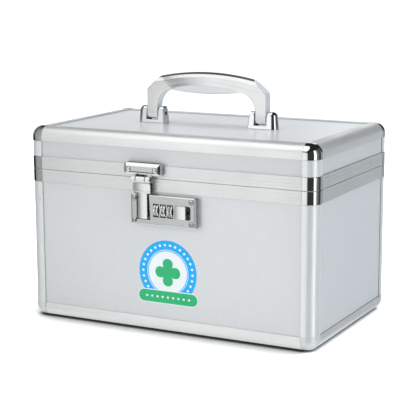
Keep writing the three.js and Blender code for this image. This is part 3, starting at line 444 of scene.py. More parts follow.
class Tree:
    """Adds and links the shader nodes of a material or a world."""

    def __init__(self, name, store=bpy.data.materials, shader="Principled BSDF", output="Material Output"):
        self.owner = store.new(name)
        self.owner.use_nodes = True
        self.nodes = self.owner.node_tree.nodes
        self.shader = self.nodes[shader]
        self.output = self.nodes[output]
        finishes[name] = self.owner

    def feed(self, socket, value):
        """Links an input to another node's output, or sets it."""
        if isinstance(value, bpy.types.NodeSocket):
            self.owner.node_tree.links.new(value, socket)
        else:
            socket.default_value = (*value, 1) if socket.type == "RGBA" else value

    def fill(self, node, **values):
        """Names with a capital are the node's inputs, the others its settings."""
        for key, value in values.items():
            if key[0].isupper():
                self.feed(node.inputs[key.replace("_", " ")], value)
            else:
                setattr(node, key, value)
        return node

    def add(self, kind, **values):
        return self.fill(self.nodes.new("ShaderNode" + kind), **values)

    def places(self):
        """The piece's own coordinates."""
        return self.add("TexCoord").outputs["Object"]

    def parts(self, vector):
        """The x, y and z of a vector."""
        return self.add("SeparateXYZ", Vector=vector).outputs

    def noise(self, scale, detail, roughness=0.5, stretch=(1, 1, 1)):
        mapping = self.add("Mapping", Vector=self.places(), Scale=stretch)
        texture = self.add("TexNoise", Scale=scale, Detail=detail, Roughness=roughness)
        self.feed(texture.inputs["Vector"], mapping.outputs["Vector"])
        return texture.outputs["Fac"]

    def ranged(self, value, low, high, source_low=0.3, source_high=0.7):
        return self.add(
            "MapRange", Value=value, From_Min=source_low, From_Max=source_high, To_Min=low, To_Max=high
        ).outputs["Result"]

    def math(self, operation, *values):
        node = self.add("Math", operation=operation)
        for socket, value in zip(node.inputs, values):
            self.feed(socket, value)
        return node.outputs["Value"]

    def mixed(self, share, first, second):
        """A colour between two others."""
        node = self.add("Mix", data_type="RGBA")
        colours = [socket for socket in node.inputs if socket.type == "RGBA"]
        for socket, value in zip((node.inputs["Factor"], *colours), (share, first, second)):
            self.feed(socket, value)
        return next(socket for socket in node.outputs if socket.type == "RGBA")

    def toned(self, value, colour, tones):
        """A colour that changes from one tone to another."""
        return self.mixed(value, *([channel * tone for channel in colour] for tone in tones))

    def bump(self, height, strength, distance):
        return self.add("Bump", Height=height, Strength=strength, Distance=distance).outputs["Normal"]

    def joint_shade(self, colour):
        """Paints shade into a sheet's colour where it goes behind an edge, on the case's two sides."""
        near = self.add("AmbientOcclusion", samples=joint_samples, Distance=joint_depth)
        facing = self.parts(self.add("NewGeometry").outputs["Normal"])
        closed = self.ranged(near.outputs["AO"], 1, 0, *joint_open_shares)
        sideways = self.math("ABSOLUTE", facing["X"])
        return self.mixed(self.math("MULTIPLY", closed, sideways), colour, joint_shade_colour)

    def seen_directly(self):
        """1 for camera, mirror and glass rays, 0 for the rays that carry light to matt surfaces."""
        path = self.add("LightPath").outputs
        direct = self.math("MAXIMUM", path["Is Camera Ray"], path["Is Glossy Ray"])
        return self.math("MAXIMUM", direct, path["Is Transmission Ray"])


def panel_material(name, colour):
    """Silver laminate: a very fine flake under a satin coat, a faint cast over the sheet, and painted shade
    at its joints on the sides.
    """
    tree = Tree(name)
    flake = tree.noise(*flake_noise)
    cast = tree.noise(*cast_noise)
    both = tree.math("ADD", tree.ranged(flake, *flake_tones), tree.ranged(cast, *cast_tones))
    sheet = tree.joint_shade(tree.toned(both, colour, panel_tones))
    tree.fill(
        tree.shader, Base_Color=sheet, Metallic=panel_metallic, Roughness=tree.ranged(flake, *panel_gloss),
        Normal=tree.bump(flake, *panel_relief),
    )


def drawn_metal(name, colour, metallic, low, high, relief, stretch=(1, 1, 1)):
    """Satin metal: hairlines in tone, gloss and relief, and clouds in its gloss."""
    tree = Tree(name)
    hair = tree.noise(*hair_noise, stretch)
    cloud = tree.ranged(tree.noise(*cloud_noise), low, high)
    gloss = tree.math("MULTIPLY", tree.ranged(hair, *hair_gloss), cloud)
    tone = tree.toned(tree.ranged(hair, *hair_mix), colour, hair_tones)
    bump = tree.bump(hair, relief, hair_depth)
    tree.fill(tree.shader, Base_Color=tone, Metallic=metallic, Roughness=gloss, Normal=bump)


def moulding_material(name, colour, grain, wear, tones, gloss, relief, metallic):
    """Casting, moulding or ink: a grain in gloss and relief, and wear in its tone."""
    tree = Tree(name)
    fine = tree.noise(*grain)
    worn = tree.ranged(tree.noise(*wear), 0, 1)
    tree.fill(
        tree.shader, Base_Color=tree.toned(worn, colour, tones), Metallic=metallic,
        Roughness=tree.ranged(fine, *gloss), Normal=tree.bump(fine, *relief),
    )


def chrome_material():
    """Bright plate with faint unevenness and a little haze."""
    tree = Tree("corner_chrome")
    haze = tree.noise(*haze_noise)
    tree.fill(
        tree.shader, Base_Color=tree.toned(tree.ranged(haze, 0, 1), chrome_colour, chrome_tones), Metallic=1,
        Roughness=tree.ranged(haze, *haze_gloss), Normal=tree.bump(tree.noise(*wave_noise), *wave_relief),
    )


def felt_material():
    """Dark needle felt: short fibres and a soft sheen."""
    tree = Tree("lining_fabric")
    fibre = tree.noise(*fibre_noise)
    both = tree.math("MULTIPLY", fibre, tree.ranged(tree.noise(*patch_noise), *patch_tones))
    tree.fill(
        tree.shader, Base_Color=tree.toned(both, felt_colour, felt_tones), Roughness=felt_roughness,
        Normal=tree.bump(fibre, *fibre_relief), Sheen_Weight=felt_sheen_share,
        Sheen_Roughness=felt_sheen_roughness,
    )


def make_finishes():
    for name, colour in panels.items():
        panel_material(name, colour)
    for name, values in metals.items():
        drawn_metal(name, *values)
    for name, values in mouldings.items():
        moulding_material(name, *values)
    chrome_material()
    felt_material()


# Carried-over nodes
def round_edges(piece, width=fine_edge, angle=edge_angle):
    """Fine rounded edges that keep the flats flat."""
    if width:
        bevel = piece.modifiers.new("edges", "BEVEL")
        settled(bevel, width=width, segments=edge_segments, limit_method="ANGLE", angle_limit=angle)
    piece.modifiers.new("flats", "WEIGHTED_NORMAL").keep_sharp = True


def dress_cad_nodes():
    for name, node in nodes.items():
        finish, *edge = next(row[1:] for row in carried if all(word in name for word in row[0].split()))
        node.data.materials.clear()
        node.data.materials.append(finishes[finish])
        node.data.shade_smooth()
        node.data.set_sharp_from_angle(angle=smooth_angle)
        round_edges(node, *edge)


# Outlines
def at_front(x, out, z):
    """A point in front of the case's front plane."""
    return x, front_y - out, z


def raised(outline, out):
    """An outline of x and z at a distance in front of that plane."""
    return [at_front(x, out, z) for x, z in outline]


def round_x(x, y, z, size, angle):
    """A point round a line along x."""
    return x, y + size * cos(angle), z + size * sin(angle)


def turns(count):
    """The angles of a whole circle in equal steps."""
    return [2 * pi * i / count for i in range(count)]


def circle(x, z, radius, sides):
    return [(x + radius * cos(turn), z + radius * sin(turn)) for turn in turns(sides)]


def quarter(x, z, radius, start, steps):
    """Points on a quarter of a circle. Its start is in quarter turns from +x."""
    angles = [(start + i / steps) * pi / 2 for i in range(steps + 1)]
    return [(x + radius * cos(angle), z + radius * sin(angle)) for angle in angles]


def drawn_in(box, inset):
    """A rectangle's left, right, low and high, all moved inwards."""
    left, right, low, high = box
    return left + inset, right - inset, low + inset, high - inset


def rounded_box(box, radius, steps=box_corner_steps):
    """The outline of a rectangle with round corners."""
    radius = max(radius, corner_edge)
    left, right, low, high = drawn_in(box, radius)
    middles = ((right, low), (right, high), (left, high), (left, low))
    return [point for i, middle in enumerate(middles) for point in quarter(*middle, radius, i - 1, steps)]


# Solids, each of equal closed rows of points
def stacked(box, radius, profile):
    """A plate that rises from the front plane through a profile of insets and outs."""
    return [raised(rounded_box(drawn_in(box, inset), radius - inset), out) for inset, out in profile]


def bar_along_x(left, right, y, z, radius, edge=corner_edge):
    """A round bar with small chamfers on its ends."""
    small = radius - edge
    ends = ((left, small), (left + edge, radius), (right - edge, radius), (right, small))
    return [[round_x(x, y, z, size, turn) for turn in turns(barrel_sides)] for x, size in ends]


def front_block(left, right, back_out, out, low, high):
    """A block in front of the front plane."""
    corners = ((left, out), (right, out), (right, back_out), (left, back_out))
    return [[at_front(x, away, z) for x, away in corners] for z in (low, high)]


def crowned_strip(middle, sections, thickness, crown):
    """A strip through sections of height, half width and out. Its left part curves back."""
    rows = []
    for z, half, out in sections:
        front, back = [], []
        for i in range(strip_columns + 1):
            share = 2 * i / strip_columns - 1
            curved = max(strip_flat_share - share, 0) / (strip_flat_share + 1)
            away = out - crown * curved * curved
            front.append(at_front(middle + half * share, away, z))
            back.append(at_front(middle + half * share, away - thickness, z))
        rows.append(front + back[::-1])
    return rows


def skin(*solids, ring=False):
    """The mesh of solids, whose ends are capped unless they make a ring."""
    mesh = bmesh.new()
    for rows in solids:
        placed = [[mesh.verts.new(point) for point in row] for row in rows]
        pairs = list(zip(placed, placed[1:]))
        if ring:
            pairs.append((placed[-1], placed[0]))
        count = len(placed[0])
        for low, high in pairs:
            for i in range(count):
                j = (i + 1) % count
                mesh.faces.new((low[i], low[j], high[j], high[i]))
        if not ring:
            mesh.faces.new(placed[0][::-1])
            mesh.faces.new(placed[-1])
    return mesh


# Pieces
def linked(name, data):
    """A new object of the scene."""
    item = bpy.data.objects.new(name, data)
    bpy.context.scene.collection.objects.link(item)
    return item


def shown(name, mesh, finish):
    """A finished mesh as a smooth object."""
    data = bpy.data.meshes.new(name)
    mesh.to_mesh(data)
    mesh.free()
    data.materials.append(finishes[finish])
    data.shade_smooth()
    return linked(name, data)


def belong(piece, body):
    """Puts a piece on its body. One that is called after a node, with _fine behind it, replaces that node."""
    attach(piece, body)
    node = piece.name.removesuffix("_fine")
    if node in nodes:
        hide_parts(node)


def make_piece(name, mesh, body, finish="blackened_steel", edge=0):
    bmesh.ops.recalc_face_normals(mesh, faces=mesh.faces)
    piece = shown(name, mesh, finish)
    piece.data.set_sharp_from_angle(angle=smooth_angle)
    round_edges(piece, edge)
    belong(piece, body)
    return piece


# Corner pieces
def cap_point(place):
    """A point of a rounded corner at the origin. Below 0 a place is on the curve, above it on the flat."""
    curve = Vector([min(value, 0) for value in place]).normalized() * corner_reach
    return Vector([max(value, 0) for value in place]) + curve


def cap_sheet():
    """The outer skin of a ball corner, centred on the ball's middle."""
    mesh = bmesh.new()
    places = [-tan(pi / 4 * (1 - i / corner_steps)) for i in range(corner_steps + 1)]
    places.append(flange_width - edge_radius)
    for axis in range(3):
        rows = []
        for second in places:
            order = [[(-1, second, third)[(i - axis) % 3] for i in range(3)] for third in places]
            rows.append([mesh.verts.new(cap_point(place)) for place in order])
        for low, high in zip(rows, rows[1:]):
            for i in range(len(places) - 1):
                mesh.faces.new((low[i], low[i + 1], high[i + 1], high[i]))
    bmesh.ops.remove_doubles(mesh, verts=mesh.verts, dist=corner_merge)
    return mesh


def box_corner(node, signs):
    """The corner of a node's box that lies on the side of each sign."""
    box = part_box(node)
    return [box[sign > 0][axis] for axis, sign in enumerate(signs)]


def make_cap(node, signs, body, finish):
    """A ball corner in one place of the box, with its thickness inwards."""
    mesh = cap_sheet()
    outer = box_corner(node, signs)
    for vertex in mesh.verts:
        for i, sign in enumerate(signs):
            vertex.co[i] = outer[i] + sign * (-corner_reach - vertex.co[i])
    bmesh.ops.recalc_face_normals(mesh, faces=mesh.faces)
    middle = Vector([place - sign * corner_reach for place, sign in zip(outer, signs)])
    face = max(mesh.faces, key=lambda item: (item.calc_center_median() - middle).length)
    if face.normal.dot(face.calc_center_median() - middle) < 0:
        bmesh.ops.reverse_faces(mesh, faces=mesh.faces)
    piece = shown(node + "_fine", mesh, finish)
    wall = piece.modifiers.new("wall", "SOLIDIFY")
    settled(wall, thickness=corner_thickness, offset=-1, use_even_offset=True)
    round_edges(piece, corner_edge, cap_edge_angle)
    belong(piece, body)


def make_rim_corner(node, x_sign, y_sign, body):
    """A chromed angle round a vertical edge of the closing rims."""
    outer_x, outer_y = box_corner(node, (x_sign, y_sign))
    end = flange_width + corner_proud
    outline = [(0, end), *quarter(corner_reach, corner_reach, corner_reach, 2, corner_steps), (end, 0)]
    inner = quarter(corner_reach, corner_reach, corner_reach - corner_thickness, 2, corner_steps)
    outline += [(end, corner_thickness), *inner[::-1], (corner_thickness, end)]
    rows = [[(outer_x - x_sign * u, outer_y - y_sign * v, corner.z) for u, v in outline]
            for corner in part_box(node)]
    make_piece(node + "_fine", skin(rows), body, "corner_chrome", corner_edge)


def make_corners():
    places = [("front_left", -1, -1), ("front_right", 1, -1), ("back_right", 1, 1), ("back_left", -1, 1)]
    for corner, x_sign, y_sign in places:
        make_cap(f"lid_corner_cap_{corner}", (x_sign, y_sign, 1), "lid", "corner_chrome")
        make_cap(f"base_corner_cap_{corner}", (x_sign, y_sign, -1), "base", "corner_satin")
        make_rim_corner(f"base_rim_corner_{corner}", x_sign, y_sign, "base")
        make_rim_corner(f"lid_rim_corner_{corner}", x_sign, y_sign, "lid")


# Rivets
def make_rivets(name, places, out, body):
    """Low rivet heads, each on a dark ring of painted shade a little wider than itself."""
    crown = rivet_rise - rivet_skirt
    sphere = (rivet_radius ** 2 + crown ** 2) / (2 * crown)
    head = [(rivet_radius, 0)]
    for i in range(rivet_steps):
        size = rivet_radius * (1 - i / rivet_steps)
        head.append((size, rivet_skirt + crown - sphere + sqrt(sphere ** 2 - size ** 2)))
    wide = rivet_radius + rivet_shade_ring
    for ending, profile, finish in (("", head, "rivet_steel"),
                                    ("_shade_rings", [(wide, 0), (wide, rivet_shade_ring_rise)], "blackened_steel")):
        solids = [[raised(circle(*place, size, rivet_sides), out + rise) for size, rise in profile]
                  for place in places]
        make_piece(name + ending, skin(*solids), body, finish=finish)


# Lock
def make_lock_rim():
    """The polished edge round the lock's face, open where the tongue's channel is."""
    loops = []
    for inset, out in lock_rim_profile:
        box = drawn_in(lock_box, inset)
        outline = rounded_box(box, lock_rim_corner - inset)
        half = len(outline) // 2
        path = [(channel_left, box[3]), *outline[half:], *outline[:half], (channel_right, box[3])]
        loops.append(raised(path, out))
    make_piece("lock_housing_rim", skin(list(zip(*loops))), "base", finish="hasp_chrome")


def make_lock_rivets():
    left, right, low, high = drawn_in(lock_box, lock_rivet_inset)
    make_rivets("lock_rivets", [(x, z) for x in (left, right) for z in (low, high)], lock_face_out, "base")


def wheel_outline(radius):
    """Radius and angle round a wheel, with a land for each digit and a groove between."""
    step = 2 * pi / wheel_digits
    land = wheel_land_share * step / 2
    groove = wheel_groove_share * step / 2
    points = []
    for angle in turns(wheel_digits):
        points += [(radius, angle + offset) for offset in (-land, -land / 2, 0, land / 2, land)]
        points += [(radius - wheel_groove_depth, angle + step / 2 + offset) for offset in (-groove, groove)]
    return points


def make_wheel(index, place):
    name = f"lock_wheel_{index}"
    x, y, z = place
    half = wheel_width / 2
    inner = half - wheel_chamfer
    small = wheel_radius - wheel_chamfer
    ends = ((-half, small), (-inner, wheel_radius), (inner, wheel_radius), (half, small))
    rows = [[round_x(x + offset, y, z, size, angle) for size, angle in wheel_outline(radius)]
            for offset, radius in ends]
    make_piece(name + "_fine", skin(rows), name, "wheel_steel")
    # Dark discs on both sides paint the shade in the window's gaps beside the wheel
    flanks = [bar_along_x(side - wheel_shade_flank_half, side + wheel_shade_flank_half, y, z, small, wheel_shade_flank_half / 2)
              for side in (x - half, x + half)]
    make_piece(name + "_shaded_flanks", skin(*flanks), name)
    make_digits(name, index, place)


def digit_mesh(text):
    """The flat mesh of one digit, centred, in Blender's own plain letters."""
    curve = settled(
        bpy.data.curves.new("digit", "FONT"), body=text, size=digit_height * digit_stretch, align_x="CENTER",
        align_y="CENTER", resolution_u=digit_curve_steps, offset=digit_bold,
    )
    holder = linked("digit", curve)
    bpy.context.view_layer.update()
    data = bpy.data.meshes.new_from_object(holder)
    bpy.data.objects.remove(holder)
    return data


def make_digits(name, index, place):
    """Ten inked digits that lie on the wheel's lands, read from the front."""
    mesh = bmesh.new()
    for digit, turn in enumerate(turns(wheel_digits)):
        data = digit_mesh(str((digit + digit_shift * index) % wheel_digits))
        first = len(mesh.verts)
        mesh.from_mesh(data)
        bpy.data.meshes.remove(data)
        mesh.verts.ensure_lookup_table()
        for vertex in mesh.verts[first:]:
            angle = pi + turn - vertex.co.y / wheel_radius
            vertex.co = round_x(place.x + vertex.co.x, place.y, place.z, wheel_radius + digit_raise, angle)
    for item in bmesh.ops.extrude_face_region(mesh, geom=mesh.faces[:])["geom"]:
        if isinstance(item, bmesh.types.BMVert):
            away = Vector((0, item.co.y - place.y, item.co.z - place.z)).normalized()
            item.co -= away * digit_depth
    make_piece(name + "_digits", mesh, name, "digit_ink")


def make_spring():
    """The return spring, a fixed coil of wire on its own mesh; the real one is pressed together as the slider
    moves.
    """
    low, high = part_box("lock_return_spring")
    middle = (low + high) / 2
    wire = spring_wire_radius
    left, right = low.x + wire, high.x - wire
    radius = (high.z - low.z) / 2 - wire
    count = spring_turns * spring_steps
    rows = []
    for i in range(count + 1):
        x = left + (right - left) * i / count
        angle = 2 * pi * i / spring_steps
        rows.append([
            round_x(x + wire * sin(turn), middle.y, middle.z, radius + wire * cos(turn), angle)
            for turn in turns(spring_sides)
        ])
    spring = make_piece("lock_return_spring_fine", skin(rows), "base")
    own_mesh(spring)


def make_slider():
    low = lock_mid_z - slider_height / 2
    box = (slider_left, slider_left + slider_width, low, low + slider_height)
    half = slider_width / 2 - slider_face_inset
    sections = [(z, half, slider_face_out) for z in drawn_in(box, slider_face_inset)[2:]]
    wall_back = lock_face_out - lock_front_wall - fit
    spindle_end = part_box("lock_slider")[0].x
    mesh = skin(
        stacked(box, slider_corner, slider_profile),
        crowned_strip(slider_left + slider_width / 2, sections, slider_face_thickness, slider_face_crown),
        front_block(
            carriage_left, carriage_left + carriage_width, carriage_back, wall_back,
            lock_mid_z - carriage_half, lock_mid_z + carriage_half,
        ),
        bar_along_x(spindle_end, carriage_left + fit, front_y - wheel_axis_out, lock_mid_z, spindle_radius),
    )
    make_piece("lock_slider_fine", mesh, "lock_slider", "slider_steel")


# Hasp
def knuckle(low_share, high_share):
    """The ends of a part of the hasp's barrel, a little apart from its neighbours, and its solid."""
    left = hasp_mid + (low_share - 1 / 2) * barrel_length + (fit / 2 if low_share > 0 else 0)
    right = hasp_mid + (high_share - 1 / 2) * barrel_length - (fit / 2 if high_share < 1 else 0)
    bar = bar_along_x(left, right, front_y - hasp_axis_out, hasp_axis_z, barrel_radius, fit)
    return (left, right), bar


def make_hasp_plate():
    left = hasp_mid + plate_shift - plate_width / 2
    low = hasp_axis_z + plate_rise
    box = (left, left + plate_width, low, low + plate_height)
    profiles = (side_profile, face_profile, plate_profile)
    sides, face, whole = (stacked(box, plate_corner, profile) for profile in profiles)
    # The plate's sides are in the darker lock steel, painting shade along them
    make_piece("hasp_plate_sides", skin(sides), "lid", finish="lock_steel")
    # The face takes a darker copy of the hasp chrome, which paints the shade it shows
    make_piece("hasp_plate_face", skin(face), "lid", "hasp_satin_shaded")
    solids = [whole]
    strap_out = hasp_axis_out - hasp_pin_radius - fit
    for shares in ((0, knuckle_share), (1 - knuckle_share, 1)):
        ends, bar = knuckle(*shares)
        strap = front_block(*ends, strap_out - strap_thickness, strap_out, hasp_axis_z, low + strap_top)
        solids += [bar, strap]
    make_piece("hasp_plate_fine", skin(*solids), "lid", "hasp_chrome")
    rivet_z = low + plate_height / 2 - plate_rivet_drop
    places = [(x, rivet_z) for x in drawn_in(box, plate_rivet_inset)[:2]]
    make_rivets("hasp_rivets", places, face_profile[-1][1], "lid")
    make_hasp_painted_shade(*box)


def make_hasp_painted_shade(left, right, low, high):
    """Dark strips that paint shade and dark reflections along the plate's face, top and left end, and behind
    the middle knuckle.
    """
    inset, out = face_profile[-1]
    edge_z = low + inset
    side_out = side_profile[-1][1]
    middle = hasp_mid + shade_shift
    under = hasp_axis_z + barrel_radius + fit / 2
    end, half, rise, corner = line_end, line_half, line_rise, plate_corner
    lines = (
        (left + end, right - end, out - rise, out + rise, edge_z - half, edge_z + half),
        (left + corner, right - corner, fit, side_out + rise, high - fit, high + rise),
        (left - rise, left + half, side_out - fit, side_out + fit, low + corner, high - corner),
        (middle - knuckle_half, middle + knuckle_half, fit, shade_out, under, low + shade_top),
    )
    make_piece("hasp_plate_painted_shade", skin(*(front_block(*line) for line in lines)), "lid")


def make_hasp():
    top = hasp_axis_z - barrel_radius - fit
    low = hasp_axis_z - neck_drop
    neck = []
    for i in range(neck_steps + 1):
        z = low + (top - low) * (1 - cos(pi * i / neck_steps)) / 2
        lost = max(neck_corner - min(top - z, z - low), 0) / neck_corner
        half = neck_width / 2 - neck_corner * (1 - sqrt(max(1 - lost * lost, 0)))
        neck.append((z, half, tongue_out + neck_bend * min((z - low) / neck_fold, 1)))
    tongue = [(z, tongue_width / 2, tongue_out) for z in (low - tongue_length, low + neck_thickness)]
    strap_out = hasp_axis_out - hasp_pin_radius
    root_out = tongue_out - tongue_thickness / 2
    eye = spindle_radius + fit
    staple_low, staple_high = lock_mid_z - staple_height / 2, lock_mid_z + staple_height / 2
    eye_low, eye_high = lock_mid_z - eye, lock_mid_z + eye

    def mid_block(half, back_out, out, z_low, z_high):
        return front_block(hasp_mid - half, hasp_mid + half, back_out, out, z_low, z_high)

    # A dark block behind the neck, which paints the shade at its side
    back_out = tongue_out + neck_bend - neck_crown - neck_thickness
    back = mid_block(neck_width / 2 - hasp_shade_block_inset, hasp_shade_block_out, back_out, low + neck_corner / 2, top)
    make_piece("hasp_shade_block", skin(back), "hasp")
    mesh = skin(
        knuckle(knuckle_share, 1 - knuckle_share)[1],
        crowned_strip(hasp_mid, neck, neck_thickness, neck_crown),
        mid_block(knuckle_half, strap_out - neck_thickness, strap_out, top - neck_corner, hasp_axis_z),
        crowned_strip(hasp_mid + tongue_shift, tongue, tongue_thickness, tongue_crown),
        mid_block(staple_thickness / 2, staple_reach_out, root_out, staple_low, eye_low),
        mid_block(staple_thickness / 2, staple_reach_out, root_out, eye_high, staple_high),
        mid_block(staple_thickness / 2, staple_reach_out, wheel_axis_out - eye, eye_low, eye_high),
    )
    make_piece("hasp_fine", mesh, "hasp", "hasp_chrome", corner_edge)


# Handle
def softened(points, cuts):
    """A closed line in a plane whose corners are short curves."""
    soft = []
    for i, here in enumerate(points):
        ends = []
        for other in (points[i - 1], points[(i + 1) % len(points)]):
            span = (other - here).length
            ends.append(here + (other - here) * min(cuts[i] / span, cut_share))
        for step in range(handle_edge_steps + 1):
            share = step / handle_edge_steps
            soft.append(ends[0].lerp(here, share).lerp(here.lerp(ends[1], share), share))
    return soft


def handle_top(x):
    return grip_top_rise - (grip_top_rise - top_rise) * (x / top_half) ** 2


def handle_belly(x):
    return crest_rise - (crest_rise - belly_rise) * (1 - (x / crest_half) ** 2)


def band_half(below, swell):
    """Half the depth at a distance below the top line."""
    last = handle_bands[0]
    for band in handle_bands[1:]:
        if below <= band[0]:
            share = max(below - last[0], 0) / (band[0] - last[0])
            return (last[1] + (band[1] - last[1]) * share) + (last[2] + (band[2] - last[2]) * share) * swell
        last = band
    return last[1] + last[2] * swell


def handle_row(outer, inner):
    """The closed section between an outer and an inner point, in the handle's own plane."""
    outer, inner = Vector(outer), Vector(inner)
    length = (outer - inner).length
    unit = (outer - inner) / length
    swell = max(1 - (outer.x / top_half) ** 2, 0) ** swell_power
    below = handle_top(outer.x) - outer.y
    line = [Vector((0, leg_half + (bottom_half - leg_half) * swell ** bottom_power))]
    last = 0
    for depth, _, _ in handle_bands:
        place = max((depth - below) / max(unit.y, slope_share), last)
        line.insert(1, Vector((length - place, band_half(below + place * unit.y, swell))))
        last = place + band_step
    mirrored = [Vector((point.x, -point.y)) for point in reversed(line)]
    cuts = [handle_inner_edge] + [handle_edge] * (len(line) - 1)
    row = []
    for point in softened(line + mirrored, cuts + cuts[::-1]):
        place = inner + unit * point.x
        row.append(Vector((place.x, point.y, place.y)))
    return row


def handle_corner(share):
    """Outside, the corner goes straight up and then over a chamfer; inside, it is a quarter ellipse."""
    turn = share * pi / 2
    up = min(share / straight_share, 1)
    over = max((share - straight_share) / (1 - straight_share), 0)
    outer = (
        half_span - (half_span - top_half) * over,
        leg_straight + (shoulder_rise - leg_straight) * up + (top_rise - shoulder_rise) * over,
    )
    inner = (
        crest_half + (leg_inner - crest_half) * cos(turn),
        leg_straight + (crest_rise - leg_straight) * sin(turn),
    )
    return outer, inner


def handle_rows():
    """Sections of the right half, from the leg's round end to the middle of the grip."""
    rows = []
    for i in range(leg_end_steps):
        angle = (i + 1 / 2) / leg_end_steps * pi / 2
        row = handle_row((half_span, 0), (leg_inner, 0))
        rows.append([Vector((point.x, point.y * sin(angle), -leg_half * cos(angle))) for point in row])
    for i in range(leg_steps):
        z = leg_straight * i / leg_steps
        rows.append(handle_row((half_span, z), (leg_inner, z)))
    rows += [handle_row(*handle_corner(i / shoulder_steps)) for i in range(shoulder_steps)]
    for i in range(grip_steps + 1):
        share = 1 - i / grip_steps
        outer_x, inner_x = top_half * share, crest_half * share
        rows.append(handle_row((outer_x, handle_top(outer_x)), (inner_x, handle_belly(inner_x))))
    return rows


def make_handle():
    """The handle with its trunnions. Its faces to the sides take a bluer, more matt copy of the silver,
    painted light for the side light they catch.
    """
    right = handle_rows()
    left = [[Vector((-point.x, point.y, point.z)) for point in row] for row in right[:-1]]
    solids = [[[point + handle_place for point in row] for row in left + right[::-1]]]
    x, y, z = handle_place
    for side in (-1, 1):
        ends = sorted(x + side * end for end in (leg_inner - trunnion_reach, half_span + trunnion_reach))
        solids.append(bar_along_x(*ends, y, z, trunnion_radius))
    piece = make_piece("handle_fine", skin(*solids), "handle", "handle_silver")
    piece.data.materials.append(finishes["handle_side_lit_copy"])
    for face in piece.data.polygons:
        if abs(face.normal.x) > side_share and abs(face.normal.y) < side_share:
            face.material_index = 1


# Brackets
def bracket_outline(outer_inset, inner_inset, top_inset):
    """The U seen from the front, outer ear to the right. The insets draw in its sides and its top."""
    outer = slot_half + outer_ear_width - outer_inset
    inner = slot_half + ear_width - inner_inset
    height = bracket_height - top_inset
    large = max(ear_outer_radius - top_inset, corner_edge)
    small = max(ear_inner_radius - top_inset, corner_edge)
    wide = min(large, outer - slot_half - ear_slot_radius)
    slot = min(ear_slot_radius, max(outer - slot_half - wide, corner_edge))
    steps = arc_steps
    return [
        (-inner, 0), (outer, 0),
        *((outer - wide + x * wide, height - large + z * large) for x, z in quarter(0, 0, 1, 0, steps)),
        *quarter(slot_half + slot, height - slot, slot, 1, steps),
        (slot_half, bracket_floor), (-slot_half, bracket_floor),
        *quarter(-slot_half - slot, height - slot, slot, 0, steps),
        *quarter(-inner + small, height - small, small, 1, steps),
    ]


def edge_inset(depth, radius):
    """How far a rounded edge draws the side in, at a depth behind the face."""
    away = max(1 - depth / radius, 0)
    return radius * (1 - (1 - away ** round_power) ** (1 / round_power))


def make_bracket(side, name):
    """A U whose outer ear is full and round, with the pin's end on its inner side."""
    middle = handle_place.x + side * (half_span - leg_width / 2)
    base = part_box(name)[0].z
    half_depth = bracket_depth / 2
    front = []
    for i in range(depth_steps + 1):
        depth = half_depth * (1 - cos(i / depth_steps * pi / 2))
        front.append((depth - half_depth, [edge_inset(depth, radius) for radius in bracket_rounds]))
    rows = []
    for y, insets in front + [(-y, insets) for y, insets in reversed(front[:-1])]:
        row = []
        for x, z in bracket_outline(*insets):
            width = outer_ear_width if x > 0 else ear_width
            drawn = max(abs(x) - slot_half, 0) / width * z * bracket_taper
            narrow = 1 - z * bracket_taper / half_depth
            row.append((middle + side * (x - copysign(drawn, x)), handle_place.y + y * narrow, base + z))
        rows.append(row)
    make_piece(name + "_fine", skin(rows), "lid", "corner_chrome", bracket_edge)
    inner_half = slot_half + ear_width - (handle_place.z - base) * bracket_taper
    ends = sorted(middle - side * (inner_half + out) for out in (pin_out, -pin_depth))
    pin = bar_along_x(*ends, handle_place.y, handle_place.z, pin_radius, pin_out / 2)
    make_piece(name + "_pin_end", skin(pin), "lid")


# Badge
def make_print(name, ink_name, layer, outlines, hole=(), lift=0):
    """Flat shapes of ink on the front panel. Each can lie higher than the last, and one can have a hole."""
    solids = []
    for i, outline in enumerate(outlines):
        out = (layer + i * lift) * print_layer - panel_inset
        solids.append([raised(outline, out - print_layer), raised(outline, out)])
        if hole:
            solids[-1] += [raised(hole, out), raised(hole, out - print_layer)]
    make_piece(name, skin(*solids, ring=bool(hole)), "base", ink_name)


def badge_circle(radius):
    return circle(badge_x, badge_z, radius, print_sides)


def badge_bar(grown):
    """The outline of the bar, grown by a margin."""
    box = drawn_in((badge_x - bar_half, badge_x + bar_half, bar_low, bar_high), -grown)
    return rounded_box(box, (bar_high - bar_low) / 2 + grown, bar_steps)


def petal(turn):
    """A leaf that points away from the badge's middle."""
    outline = []
    for angle in turns(print_sides // 2):
        u = petal_place + petal_long * cos(angle)
        v = petal_wide * sin(angle) * (1 + petal_flare_share * cos(angle))
        outline.append((badge_x + u * cos(turn) - v * sin(turn), badge_z + u * sin(turn) + v * cos(turn)))
    return outline


def make_badge():
    ring_dots = [circle(x, z, dot_radius, dot_sides)
                 for x, z in circle(badge_x, badge_z, dot_place, dot_count)
                 if z > bar_high + dot_radius]
    bar_dots = []
    for i in range(bar_dot_count):
        x = badge_x + (i - (bar_dot_count - 1) / 2) * bar_dot_pitch
        bar_dots.append(circle(x, (bar_low + bar_high) / 2, bar_dot_radius, dot_sides))
    petals = [petal(turn) for turn in turns(petal_count)]
    disc = badge_circle(badge_inner_radius)
    make_print("badge_ring", "badge_blue", 1, [badge_circle(badge_radius)], disc)
    make_print("badge_middle", "badge_white", 1, [disc])
    make_print("badge_line", "badge_white", 2, [badge_circle(line_outer)], badge_circle(line_inner))
    make_print("badge_dots", "badge_white", 2, ring_dots)
    make_print("badge_petals", "badge_green", 2, petals, lift=petal_lift_share)
    make_print("badge_bar_edge", "badge_white", 3, [badge_bar(bar_line)])
    make_print("badge_bar", "badge_green", 4, [badge_bar(0)])
    make_print("badge_bar_dots", "badge_white", 5, bar_dots)


# Studio
def direction(azimuth, elevation):
    """From the table's middle, turned from the front towards the right, and up."""
    flat = cos(elevation)
    return Vector((sin(azimuth) * flat, -cos(azimuth) * flat, sin(elevation)))


